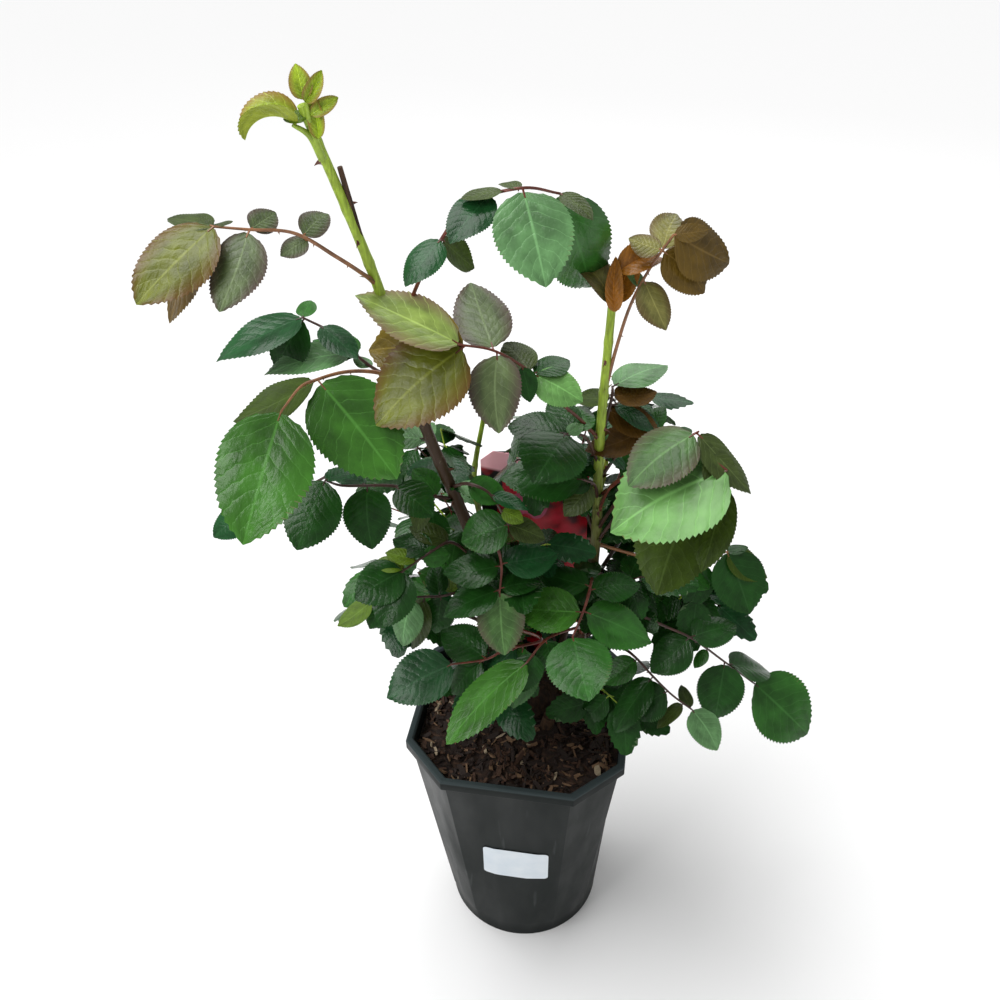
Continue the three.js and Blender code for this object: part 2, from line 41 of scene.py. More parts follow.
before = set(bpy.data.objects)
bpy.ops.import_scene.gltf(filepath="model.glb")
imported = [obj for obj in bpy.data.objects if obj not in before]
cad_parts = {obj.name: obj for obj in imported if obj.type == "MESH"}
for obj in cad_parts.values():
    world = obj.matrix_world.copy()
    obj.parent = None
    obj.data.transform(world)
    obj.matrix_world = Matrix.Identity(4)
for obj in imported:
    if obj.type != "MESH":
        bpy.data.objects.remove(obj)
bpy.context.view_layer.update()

MM = 0.001
UP = np.array([0.0, 0.0, 1.0])
BODY = "root"
GOLDEN_TURN = 2.39996
UV_MAP = "OFBake"

# ---------------------------------------------------------------------------- places of the plant, in mm

POT_HEIGHT = 277.0
POT_HALF_FLATS = 102.5
POT_LONG_SIDE_SHARE = 121.0 / 205.0
POT_TURN = math.radians(-10.3)
POT_LIP_HEIGHT = 12.5
POT_LIP_OVERHANG = 4.8
POT_FOOT_RADIUS = 79.0
POT_ROUND_HEIGHT = 24.0
COMPOST_TOP = 262.0
LABEL_WIDTH = 64.0
LABEL_HEIGHT = 48.0
LABEL_SIDE = 11.0
LABEL_MIDDLE = 144.0
LABEL_CORNER = 4.0

# Each cane: the places it passes through, its radius at the foot and at the tip, and the heights between
# which its bark turns from brown to green.
CANES = {
    "cane_left": {
        "knots": [
            (4, 14, 262), (-8, 12, 350), (-40, 2, 479),
            (-74, -15, 612), (-99, -34, 745), (-129, -52, 862),
        ],
        "foot": 7.5, "tip": 3.0, "greening": (630, 730),
    },
    "cane_right": {
        "knots": [(32, 12, 262), (53, 12, 350), (63, 8, 464), (62, 2, 583), (65, -6, 703)],
        "foot": 6.5, "tip": 3.2, "greening": (440, 590),
    },
    "cane_back": {
        "knots": [(8, 32, 262), (-12, 62, 350), (-34, 60, 450), (-40, 54, 510), (-30, 52, 575)],
        "foot": 5.0, "tip": 2.0, "greening": (420, 520),
    },
    "cane_far": {
        "knots": [(28, 34, 262), (56, 84, 350), (74, 104, 430), (84, 106, 510)],
        "foot": 4.5, "tip": 2.0, "greening": (400, 500),
    },
}

STUBS = {
    "stub_grey": {
        "from": (-14, -10, 262), "to": (-16, -14, 286.5), "foot": 6.0, "tip": 5.0,
        "colour": (0.21, 0.18, 0.14),
    },
    "stub_brown": {
        "from": (22, -16, 262), "to": (24, -22, 284.5), "foot": 6.5, "tip": 5.5,
        "colour": (0.13, 0.07, 0.035),
    },
    "stub_dead": {
        "from": (-102, -37, 757), "to": (-112, -44, 822), "foot": 2.2, "tip": 1.7,
        "colour": (0.10, 0.05, 0.025),
    },
}

# Each leaf that shows by itself: the cane and the height that its stalk leaves, the places the stalk passes
# through, and its leaflets. A leaflet has its share along the stalk, the azimuth and elevation that it points
# in, its length, its width beside its length, how far its upper side leans from up to the front, its tint.
LEAVES = {
    "leaf_top_left": {
        "cane": "cane_left", "height": 739, "stalk": "tan",
        "line": [(-118, -58, 769), (-141, -72, 792), (-165, -80, 798), (-185, -84, 802)],
        "leaflets": [
            (1.00, 225, -20, 64, 0.72, 30, "bronze"), (0.75, 250, -30, 54, 0.66, 30, "dusk"),
            (1.00, 150, 5, 38, 0.50, 10, "olive"), (0.75, 55, 8, 24, 0.80, 60, "dusk"),
            (0.45, 62, 10, 30, 0.65, 60, "dusk"), (0.42, 215, -10, 20, 0.85, 30, "dusk"),
            (1.00, 50, 5, 14, 0.60, 0, "olive"), (1.00, 180, -52, 76, 0.42, 20, "umber"),
        ],
    },
    "leaf_top_centre": {
        "cane": "cane_left", "height": 690, "stalk": "red",
        "line": [(-72, -32, 733), (-55, -42, 768), (-32, -52, 800), (0, -62, 813), (24, -44, 802)],
        "leaflets": [
            (0.80, 284, -36, 63, 0.82, 30, "jade"), (1.00, 45, -63, 112, 0.44, 60, "mid"),
            (1.00, 316, -10, 28, 0.55, 10, "olive"), (0.73, 190, 0, 28, 0.60, 0, "olive"),
            (0.80, 145, 5, 18, 0.60, 10, "olive"), (0.69, 230, -15, 42, 0.70, 15, "blue"),
            (0.44, 230, -20, 40, 0.66, 15, "blue"), (0.44, 30, -55, 32, 0.90, 205, "olive"),
        ],
    },
    "leaf_centre": {
        "cane": "cane_right", "height": 583, "stalk": "red",
        "line": [(45, -8, 609), (27, -18, 633), (6, -30, 665), (-20, -42, 690), (-43, -54, 702)],
        "leaflets": [
            (1.00, 170, 33, 76, 0.60, 15, "pale"), (0.97, 212, -24, 80, 0.82, 35, "bronze"),
            (0.80, 105, 25, 66, 0.66, 30, "dusk"), (0.79, 270, -40, 56, 0.70, 30, "dusk"),
            (0.95, 172, -4, 72, 0.80, 50, "amber"), (0.60, 125, 20, 34, 0.84, 30, "olive"),
            (0.58, 35, 10, 34, 0.74, 10, "deep"), (0.58, 335, -15, 40, 0.82, 30, "mint"),
            (0.65, 287, -45, 26, 0.66, 30, "deep"),
        ],
    },
    "leaf_young_right": {
        "cane": "cane_right", "height": 622, "stalk": "tan",
        "line": [(70, -6, 670), (78, -11, 708), (89, -14, 736), (103, -16, 761)],
        "leaflets": [
            (0.88, 66, 22, 42, 0.66, 45, "khaki"), (0.88, 160, 15, 24, 0.80, 40, "khaki"),
            (1.00, 8, -26, 52, 0.85, 45, "umber"), (0.88, 339, -36, 42, 0.85, 45, "umber"),
            (0.66, 305, -40, 38, 0.66, 30, "khaki"), (1.00, 345, 10, 24, 0.55, 80, "umber"),
        ],
    },
    "leaf_left_upper": {
        "cane": "cane_left", "height": 660, "stalk": "dark",
        "line": [(-104, -10, 656), (-122, -4, 668), (-139, 0, 685), (-158, 2, 696)],
        "leaflets": [
            (1.00, 210, -5, 68, 0.56, 10, "blue"), (1.00, 80, 15, 23, 0.66, 30, "mid"),
            (0.98, 205, -45, 44, 0.92, 30, "deep"), (0.85, 318, -14, 40, 0.62, 10, "blue"),
            (0.52, 198, 6, 66, 0.54, 8, "jade"), (0.47, 140, 8, 50, 0.66, 15, "mid"),
            (0.33, 145, 15, 18, 0.70, 5, "jade"),
        ],
    },
    "leaf_left_large": {
        "cane": "cane_left", "height": 655, "stalk": "tan",
        "line": [(-108, -36, 672), (-125, -48, 679), (-141, -62, 682), (-150, -76, 685), (-162, -92, 676)],
        "leaflets": [
            (1.00, 250, -34, 90, 0.74, 35, "green"), (0.60, 319, -36, 85, 0.76, 45, "green"),
            (0.60, 192, -31, 64, 0.62, 185, "olive"),
        ],
    },
    "leaf_left_lower": {
        "cane": "cane_left", "height": 531, "stalk": "dark",
        "line": [(-72, -18, 546), (-101, -34, 569), (-138, -48, 581), (-148, -52, 589)],
        "leaflets": [
            (1.00, 240, -35, 55, 0.84, 30, "deep"), (0.62, 275, -38, 48, 0.82, 30, "deep"),
            (0.48, 322, -16, 38, 0.84, 30, "deep"), (1.00, 40, 5, 26, 0.66, 0, "blue"),
            (0.62, 145, 4, 39, 0.50, 0, "blue"), (0.20, 140, 40, 30, 0.80, 10, "mid"),
            (0.30, 250, -45, 30, 0.60, 30, "olive"),
        ],
    },
    "leaf_left_far": {
        "cane": "cane_left", "height": 600, "stalk": "dark",
        "line": [(-97, 10, 577), (-146, 0, 561), (-198, 0, 532), (-226, -4, 527)],
        "leaflets": [
            (1.00, 205, -25, 37, 0.75, 30, "blue"), (0.18, 50, 10, 30, 0.70, 20, "jade"),
            (0.05, 185, 15, 32, 0.72, 20, "jade"),
        ],
    },
    "leaf_shoulder_upper": {
        "cane": "cane_right", "height": 524, "stalk": "red",
        "line": [(72, -6, 542), (87, -38, 585), (103, -56, 614), (122, -74, 640)],
        "leaflets": [
            (0.98, 210, -15, 60, 0.82, 15, "sage"), (0.98, 325, -30, 57, 0.50, 10, "olive"),
            (0.95, 125, 0, 16, 0.60, 20, "deep"),
        ],
    },
    "leaf_shoulder_lower": {
        "cane": "cane_right", "height": 505, "stalk": "red",
        "line": [(71, -10, 545), (88, -44, 586), (116, -78, 631), (141, -92, 619)],
        "leaflets": [
            (1.00, 196, -15, 90, 0.90, 16, "mint"), (0.86, 320, -45, 30, 0.90, 30, "olive"),
        ],
    },
    "leaf_shoulder_side": {
        "cane": "cane_right", "height": 488, "stalk": "dark",
        "line": [(91, -30, 570), (120, -66, 610), (141, -84, 601)],
        "leaflets": [
            (1.00, 250, -56, 63, 0.50, 165, "olive"),
        ],
    },
    "leaf_shoulder_under": {
        "cane": "cane_right", "height": 470, "stalk": "dark",
        "line": [(93, -20, 549), (110, -50, 580), (128, -62, 572)],
        "leaflets": [
            (1.00, 233, -50, 76, 0.82, 222, "olive"),
        ],
    },
    "leaf_right_back": {
        "cane": "cane_right", "height": 575, "stalk": "dark",
        "line": [(71, 10, 622), (71, 14, 625)],
        "leaflets": [
            (0.90, 40, 5, 64, 0.50, 5, "jade"), (0.45, 20, -15, 38, 0.64, 200, "umber"),
            (0.42, 157, -20, 30, 0.66, 200, "olive"),
        ],
    },
    "leaf_low_outer": {
        "cane": "cane_right", "height": 392, "stalk": "dark",
        "line": [
            (88, -24, 427), (101, -36, 426), (123, -38, 414),
            (144, -38, 401), (179, -34, 365), (210, -30, 332),
        ],
        "leaflets": [
            (1.00, 335, -33, 76, 0.86, 30, "mid"), (0.85, 18, -22, 52, 0.74, 5, "deep"),
            (0.83, 255, -45, 53, 0.84, 30, "deep"), (0.67, 18, 5, 46, 0.78, 15, "deep"),
            (0.67, 210, -26, 45, 0.80, 30, "deep"), (0.75, 220, -35, 20, 0.66, 0, "mid"),
        ],
    },
    "leaf_low_inner": {
        "cane": "cane_right", "height": 345, "stalk": "dark",
        "line": [(88, -28, 379), (98, -42, 381), (111, -52, 370), (129, -58, 351), (149, -60, 332)],
        "leaflets": [
            (1.00, 315, -40, 43, 0.72, 30, "jade"), (0.77, 195, -16, 42, 0.90, 30, "deep"),
            (0.92, 205, -26, 32, 0.50, 0, "olive"), (0.98, 100, 14, 26, 0.50, 10, "olive"),
            (0.62, 215, -40, 60, 0.55, 0, "deep"), (0.42, 200, -30, 36, 0.72, 20, "mid"),
        ],
    },
    "leaf_front": {
        "cane": "cane_right", "height": 440, "stalk": "red",
        "line": [(55, -42, 465), (48, -62, 458), (38, -82, 449)],
        "leaflets": [
            (1.00, 280, -12, 54, 1.00, 30, "mid"), (0.68, 175, 5, 57, 0.78, 20, "green"),
            (0.67, 345, -16, 61, 0.78, 10, "mid"), (0.32, 160, 10, 47, 0.66, 10, "deep"),
            (0.36, 10, 1, 43, 0.76, 10, "deep"),
        ],
    },
    "leaf_front_low": {
        "cane": "cane_right", "height": 360, "stalk": "red",
        "line": [(43, -46, 423), (17, -68, 432), (1, -86, 425)],
        "leaflets": [
            (1.00, 215, -23, 90, 0.50, 0, "green"), (0.87, 240, -46, 34, 0.80, 30, "deep"),
            (0.67, 300, -50, 28, 0.88, 30, "deep"),
        ],
    },
    "leaf_left_front": {
        "cane": "cane_left", "height": 372, "stalk": "red",
        "line": [(14, -46, 409), (-17, -58, 411), (-32, -64, 407), (-61, -74, 412)],
        "leaflets": [
            (1.00, 202, -12, 59, 0.82, 25, "blue"), (0.75, 148, 14, 47, 0.80, 30, "deep"),
            (0.78, 202, -35, 42, 0.74, 10, "deep"), (0.38, 250, -60, 58, 0.62, 30, "mid"),
            (0.42, 210, -26, 50, 0.62, 10, "blue"),
        ],
    },
    "leaf_front_middle": {
        "cane": "cane_left", "height": 480, "stalk": "red",
        "line": [(-21, -46, 514), (-18, -52, 500), (-20, -62, 481)],
        "leaflets": [
            (1.00, 275, -50, 51, 0.78, 30, "sage"), (0.97, 200, -10, 49, 0.72, 5, "deep"),
            (0.67, 184, 0, 46, 0.76, 15, "deep"), (0.63, 14, 5, 47, 0.78, 10, "blue"),
            (0.95, 10, 4, 34, 0.74, 10, "deep"), (0.33, 135, 20, 30, 0.86, 30, "mid"),
        ],
    },
    "leaf_middle_inner": {
        "cane": "cane_left", "height": 545, "stalk": "dark",
        "line": [(-41, -30, 566), (-27, -36, 562), (-12, -40, 533)],
        "leaflets": [
            (1.00, 190, -12, 40, 0.92, 35, "mid"), (0.28, 345, -10, 34, 0.74, 30, "mid"),
            (0.70, 350, -14, 32, 0.55, 5, "blue"), (0.87, 340, -15, 20, 0.75, 30, "lime"),
            (1.00, 350, -15, 32, 0.72, 20, "olive"), (0.10, 340, 8, 38, 0.50, 10, "jade"),
        ],
    },
    "leaf_over_tag": {
        "cane": "cane_right", "height": 560, "stalk": "dark",
        "line": [(47, -14, 598), (33, -20, 604)],
        "leaflets": [
            (1.00, 245, 2, 56, 0.95, 30, "deep"), (0.77, 70, 15, 36, 0.72, 20, "mid"),
            (0.82, 112, 20, 40, 0.72, 20, "deep"), (0.97, 30, 20, 16, 0.76, 30, "jade"),
            (0.98, 165, 8, 46, 0.74, 20, "deep"),
        ],
    },
    "leaf_over_tag_low": {
        "cane": "cane_right", "height": 520, "stalk": "dark",
        "line": [(57, -12, 550), (48, -18, 559)],
        "leaflets": [
            (1.00, 178, 4, 64, 0.72, 20, "deep"), (0.60, 190, 5, 24, 0.85, 30, "deep"),
            (0.60, 215, -35, 34, 0.70, 30, "olive"),
        ],
    },
    "leaf_left_cluster": {
        "cane": "cane_left", "height": 440, "stalk": "dark",
        "line": [(-60, -22, 501), (-74, -34, 502), (-97, -48, 494)],
        "leaflets": [
            (1.00, 205, -16, 44, 0.88, 35, "deep"), (1.00, 240, -40, 48, 0.76, 30, "deep"),
            (0.67, 155, 10, 36, 0.80, 10, "deep"), (0.80, 10, 4, 24, 0.80, 35, "mid"),
            (0.98, 155, 10, 27, 0.70, 5, "lime"), (0.33, 160, 20, 36, 0.66, 10, "olive"),
            (0.85, 172, 24, 26, 0.70, 5, "lime"),
        ],
    },
    "leaf_left_skirt": {
        "cane": "cane_left", "height": 400, "stalk": "dark",
        "line": [(-55, -14, 437), (-70, -24, 443), (-91, -32, 450), (-127, -38, 453)],
        "leaflets": [
            (1.00, 203, -34, 35, 0.60, 195, "lime"), (0.77, 240, -50, 44, 0.76, 0, "jade"),
            (0.50, 250, -55, 34, 0.88, 30, "deep"), (0.66, 225, -66, 52, 0.50, 10, "olive"),
            (0.52, 100, 24, 33, 0.62, 30, "deep"), (0.93, 226, -45, 28, 0.80, 30, "deep"),
            (0.36, 95, 20, 21, 0.66, 30, "lime"),
        ],
    },
    "leaf_right_far": {
        "cane": "cane_right", "height": 470, "stalk": "tan",
        "line": [(120, 6, 452), (156, 10, 448), (178, 8, 458)],
        "leaflets": [
            (1.00, 304, -50, 58, 0.86, 30, "deep"), (1.00, 350, -40, 43, 0.75, 200, "olive"),
            (1.00, 15, 5, 20, 0.66, 5, "deep"), (0.67, 250, -55, 45, 0.70, 30, "deep"),
            (0.48, 330, -26, 36, 0.76, 10, "mid"),
        ],
    },
    "leaf_behind_right": {
        "cane": "cane_right", "height": 560, "stalk": "dark",
        "line": [(67, 16, 604), (77, 22, 603)],
        "leaflets": [
            (0.78, 342, -15, 46, 0.60, 5, "blue"), (0.48, 350, -30, 46, 0.70, 205, "umber"),
            (0.43, 224, -26, 20, 0.84, 30, "mid"),
        ],
    },
    "leaf_right_low_under": {
        "cane": "cane_right", "height": 540, "stalk": "dark",
        "line": [(83, 8, 573), (98, 10, 586)],
        "leaflets": [
            (0.97, 188, -22, 48, 0.62, 205, "umber"), (0.85, 45, 24, 36, 0.62, 20, "mid"),
        ],
    },
}

# Each dense mass: its middle, its half sizes, the cane its twig grows from and how high, and its leaves.
MASSES = {
    "mass_centre_high": ((26, 30, 558), (50, 40, 46), "cane_right", 480, 7),
    "mass_behind_right": ((92, 66, 566), (40, 34, 28), "cane_far", 490, 5),
    "mass_left_middle": ((-76, 34, 548), (42, 38, 44), "cane_left", 480, 7),
    "mass_left_low": ((-112, 12, 420), (52, 44, 50), "cane_left", 360, 8),
    "mass_front_middle": ((-2, -20, 480), (46, 26, 44), "cane_left", 420, 6),
    "mass_front_right": ((78, -16, 440), (46, 30, 38), "cane_right", 370, 7),
    "mass_right_middle": ((122, 44, 486), (50, 44, 48), "cane_right", 420, 9),
    "mass_right_low": ((160, 20, 402), (56, 42, 40), "cane_right", 350, 8),
    "mass_front_left_foot": ((-36, -32, 350), (48, 34, 40), "cane_left", 300, 7),
    "mass_front_right_foot": ((80, -34, 320), (42, 34, 32), "cane_right", 285, 6),
    "mass_back_left": ((-82, 84, 440), (56, 50, 62), "cane_back", 350, 13),
    "mass_back_middle": ((4, 122, 440), (52, 40, 70), "cane_back", 350, 14),
    "mass_back_right": ((96, 118, 440), (56, 44, 62), "cane_far", 350, 13),
    "mass_back_foot": ((14, 92, 346), (60, 42, 40), "cane_far", 290, 9),
}

# Each young leaf at a shoot's tip: its base, azimuth, elevation, length, width beside its length, the lean of
# its upper side, how steeply it is folded along its midrib, how far it curls from base to tip, and its tint.
SHOOT_TIPS = {
    "shoot_tip_left": [
        ((-133, -56, 852), 180, 44, 38, 0.50, 0, 1.30, 115, "shoot"),
        ((-121, -54, 843), 130, 82, 26, 0.40, 80, 0.80, 10, "shoot"),
        ((-127, -54, 866), 170, 82, 19, 0.72, 70, 0.30, 20, "shoot"),
        ((-126, -54, 864), 0, 58, 20, 0.50, 80, 0.90, 25, "shoot"),
        ((-124, -54, 857), 0, 34, 19, 0.52, 60, 0.50, 40, "shoot"),
        ((-127, -54, 855), 185, 12, 14, 0.66, 40, 0.40, 40, "lime"),
    ],
    "shoot_tip_right": [
        ((66, -15, 704), 95, 86, 38, 0.34, 60, 0.80, 15, "rust"),
        ((66, -8, 708), 20, 68, 40, 0.46, 75, 0.80, 20, "rust"),
        ((69, -9, 732), 350, 42, 36, 0.60, 40, 0.70, 95, "rust"),
        ((63, -12, 710), 168, 72, 46, 0.50, 20, 0.50, 105, "khaki"),
        ((73, -8, 732), 0, -35, 20, 0.60, 30, 0.30, 20, "jade"),
    ],
}
SHOOT_STALKS = {
    "shoot_tip_left": [(-121, -50, 829), (-127, -53, 845), (-135, -56, 852)],
    "shoot_tip_right": [(65, -6, 700), (66, -8, 716), (69, -9, 732)],
}
SHOOT_SPIRE = {
    "shoot_tip_left": [(-121, -50, 829), (-125, -53, 850), (-126, -54, 864)],
    "shoot_tip_right": [(65, -6, 700), (65, -8, 710), (64, -10, 716)],
}

# The tints of the masses' leaflets, each as often as it is drawn beside the others.
DENSE_TINTS = ("deep", "deep", "deep", "blue", "mid")
OLD_TINTS = ("deep", "blue", "mid")

Tint = namedtuple("Tint", "about upper under slot roughness")

# Each tint of leaf: what it is, the colours of its upper side and its underside, its slot, and how rough its
# upper side is.
TINTS = {
    "deep": ("Old leaves", (0.013, 0.066, 0.009), (0.07, 0.13, 0.05), "leaf_deep", 0.22),
    "blue": ("Old leaves with a blue bloom", (0.013, 0.075, 0.020), (0.08, 0.15, 0.08), "leaf_deep", 0.24),
    "mid": ("Full-grown leaves", (0.030, 0.130, 0.018), (0.10, 0.15, 0.04), "leaf_mid", 0.25),
    "green": ("Large fresh leaves", (0.045, 0.165, 0.016), (0.12, 0.16, 0.05), "leaf_mid", 0.27),
    "jade": ("Large soft leaves", (0.12, 0.27, 0.10), (0.12, 0.17, 0.06), "leaf_mid", 0.3),
    "sage": ("Half-grown grey-green leaves", (0.085, 0.19, 0.05), (0.10, 0.12, 0.03), "leaf_mid", 0.33),
    "mint": ("Pale leaves", (0.15, 0.35, 0.09), (0.16, 0.20, 0.06), "leaf_mid", 0.33),
    "olive": ("Half-grown leaves", (0.055, 0.085, 0.016), (0.040, 0.075, 0.002), "leaf_mid", 0.3),
    "bronze": ("Young leaves", (0.135, 0.155, 0.011), (0.11, 0.07, 0.012), "leaf_bronze", 0.3),
    "dusk": ("Young grey-green leaves", (0.11, 0.155, 0.060), (0.11, 0.07, 0.03), "leaf_bronze", 0.34),
    "pale": ("Young yellow-green leaves", (0.32, 0.44, 0.10), (0.20, 0.20, 0.06), "leaf_bronze", 0.33),
    "khaki": ("Youngest leaves on the right", (0.23, 0.22, 0.06), (0.25, 0.23, 0.05), "leaf_bronze", 0.3),
    "amber": ("Bronze leaves in shade", (0.20, 0.14, 0.012), (0.30, 0.19, 0.012), "leaf_bronze", 0.3),
    "umber": ("Red-brown leaves", (0.120, 0.072, 0.010), (0.095, 0.045, 0.004), "leaf_red", 0.3),
    "rust": ("Leaves just unfolded", (0.36, 0.14, 0.013), (0.24, 0.11, 0.012), "leaf_red", 0.3),
    "lime": ("Small fresh leaves", (0.15, 0.26, 0.016), (0.10, 0.18, 0.012), "leaf_lime", 0.3),
    "shoot": ("Shoot leaves", (0.40, 0.56, 0.030), (0.35, 0.42, 0.04), "leaf_lime", 0.3),
}
TINTS = {name: Tint(*row) for name, row in TINTS.items()}

# The colour that some tints run out to at a leaflet's edge.
RIM_COLOURS = {
    "bronze": (0.13, 0.05, 0.018),
    "dusk": (0.10, 0.055, 0.06),
    "pale": (0.24, 0.13, 0.10),
    "shoot": (0.30, 0.12, 0.05),
    "khaki": (0.13, 0.075, 0.035),
    "sage": (0.11, 0.075, 0.06),
}

SIDE_VEINS = 8
VEIN_SLANT = 0.26


def colour_of(name):
    """A colour from the panel's settings."""
    return tuple(getattr(bpy.context.scene.rose_colours, name))


# ---------------------------------------------------------------------------- materials


def shaded(colour, factor, lift=0.0):
    """A colour made darker or lighter by a factor, then raised by the same amount in every part."""
    return tuple(min(1.0, factor * part + lift) for part in colour)


def new_material(name, colour, roughness, specular=0.5):
    """A Principled material with one colour, roughness and specular level, its node tree and its shader."""
    material = bpy.data.materials.new(name)
    material.use_nodes = True
    shader = material.node_tree.nodes["Principled BSDF"]
    shader.inputs["Base Color"].default_value = (*colour, 1.0)
    shader.inputs["Roughness"].default_value = roughness
    shader.inputs["Specular IOR Level"].default_value = specular
    return material, material.node_tree, shader


def add_node(tree, kind, inputs=None, **settings):
    """A node with its settings, its inputs set to a value or linked to another node's output."""
    node = tree.nodes.new(kind)
    for name, value in settings.items():
        setattr(node, name, value)
    for name, value in (inputs or {}).items():
        if isinstance(value, bpy.types.NodeSocket):
            tree.links.new(value, node.inputs[name])
        else:
            node.inputs[name].default_value = value
    return node


def place_on_piece(tree, stretch=(1.0, 1.0, 1.0)):
    """Object coordinates, stretched along the axes."""
    coordinates = add_node(tree, "ShaderNodeTexCoord")
    mapping = add_node(tree, "ShaderNodeMapping", {"Vector": coordinates.outputs["Object"], "Scale": stretch})
    return mapping.outputs["Vector"]


def height_on_piece(tree):
    """The height in metres, from Object coordinates."""
    position = add_node(tree, "ShaderNodeTexCoord").outputs["Object"]
    return add_node(tree, "ShaderNodeSeparateXYZ", {"Vector": position}).outputs["Z"]


def share_between(tree, value, low, high):
    """How far a value lies on the way from one level, 0, to another, 1."""
    limits = {"Value": value, "From Min": low, "From Max": high}
    return add_node(tree, "ShaderNodeMapRange", limits).outputs["Result"]


def noise(tree, place, scale, detail=4.0):
    """Noise from 0 to 1 at a place."""
    node = add_node(tree, "ShaderNodeTexNoise", {"Vector": place, "Scale": scale, "Detail": detail})
    return node.outputs["Fac"]


def ramp(tree, value, stops):
    """A colour ramp with its (position, colour) stops; a plain number stands for a grey."""
    node = add_node(tree, "ShaderNodeValToRGB", {"Fac": value})
    ends = node.color_ramp.elements
    while len(ends) < len(stops):
        ends.new(0.5)
    for end, (position, colour) in zip(ends, stops):
        end.position = position
        end.color = (colour, colour, colour, 1.0) if isinstance(colour, float) else (*colour, 1.0)
    return node.outputs["Color"]


def mixed(tree, share, first, second):
    """Two colours mixed by a share."""
    node = add_node(tree, "ShaderNodeMix", {0: share}, data_type="RGBA")
    for index, value in ((6, first), (7, second)):
        if isinstance(value, bpy.types.NodeSocket):
            tree.links.new(value, node.inputs[index])
        else:
            node.inputs[index].default_value = (*value, 1.0)
    return node.outputs[2]


def sum_of(tree, first, second):
    """Two values added."""
    return add_node(tree, "ShaderNodeMath", {0: first, 1: second}, operation="ADD").outputs["Value"]


def product(tree, first, second):
    """Two values multiplied."""
    return add_node(tree, "ShaderNodeMath", {0: first, 1: second}, operation="MULTIPLY").outputs["Value"]


def worked_out(tree, operation, first, second=0.0):
    """Any other arithmetic step."""
    return add_node(tree, "ShaderNodeMath", {0: first, 1: second}, operation=operation).outputs["Value"]


def paint(tree, shader, colour):
    """Gives the shader a patterned base colour."""
    tree.links.new(colour, shader.inputs["Base Color"])


def rough_up(tree, shader, height, strength, distance):
    """Bump from a height, given in metres where the height is 1."""
    bump = add_node(tree, "ShaderNodeBump", {"Height": height, "Strength": strength, "Distance": distance})
    tree.links.new(bump.outputs["Normal"], shader.inputs["Normal"])


def moulded_plastic():
    """Dark matt polypropylene with dust, scuffs, a fine grain and a paler band along the rim's top edge, a
    painted highlight.
    """
    base = colour_of("pot")
    scuff = (0.12, 0.13, 0.13)
    # Paler blue-grey of the painted highlight along the rim's top edge.
    rim_highlight = (0.040, 0.054, 0.056)
    rim_from, rim_to = 3.5, 1.5
    material, tree, shader = new_material("pot_plastic", base, 0.4, 0.1)
    dust = noise(tree, place_on_piece(tree, (1.0, 1.0, 0.35)), 30.0, 6.0)
    streaks = noise(tree, place_on_piece(tree, (60.0, 60.0, 4.0)), 2.0, 3.0)
    dusted = mixed(tree, ramp(tree, dust, [(0.45, 0.0), (0.8, 0.5)]), base, shaded(base, 1.5, 0.003))
    scuffed = mixed(tree, ramp(tree, streaks, [(0.66, 0.0), (0.74, 0.2)]), dusted, scuff)
    # Painted highlight: the top few mm of the rim are mixed towards a paler blue-grey, standing in for light
    # caught on its rounded edge.
    rim = share_between(tree, height_on_piece(tree), (POT_HEIGHT - rim_from) * MM, (POT_HEIGHT - rim_to) * MM)
    paint(tree, shader, mixed(tree, rim, scuffed, rim_highlight))
    tree.links.new(ramp(tree, dust, [(0.3, 0.34), (0.75, 0.6)]), shader.inputs["Roughness"])
    rough_up(tree, shader, noise(tree, place_on_piece(tree), 900.0, 2.0), 0.25, 0.0002)
    return material


def label_film():
    """Bare white label film, a little cloudy."""
    material, tree, shader = new_material("label_film", (0.72, 0.79, 0.85), 0.35)
    cloud = noise(tree, place_on_piece(tree), 60.0, 3.0)
    paint(tree, shader, ramp(tree, cloud, [(0.3, (0.67, 0.75, 0.82)), (0.7, (0.76, 0.82, 0.87))]))
    return material


def bark_compost():
    """Moist dark compost in crumbs of every size."""
    wet, damp, dry = (0.008, 0.004, 0.003), (0.035, 0.017, 0.01), (0.1, 0.055, 0.03)
    material, tree, shader = new_material("compost_crumbs", (0.03, 0.015, 0.009), 0.9)
    crumbs = noise(tree, place_on_piece(tree), 180.0, 8.0)
    paint(tree, shader, ramp(tree, crumbs, [(0.3, wet), (0.55, damp), (0.8, dry)]))
    rough_up(tree, shader, crumbs, 0.9, 0.003)
    return material


def chip_wood(name, colour):
    """A bark chip's fibrous wood."""
    material, tree, shader = new_material(name, colour, 0.8)
    fibre = noise(tree, place_on_piece(tree, (1.0, 1.0, 3.0)), 400.0, 5.0)
    paint(tree, shader, mixed(tree, fibre, shaded(colour, 0.45), colour))
    rough_up(tree, shader, fibre, 0.6, 0.0008)
    return material


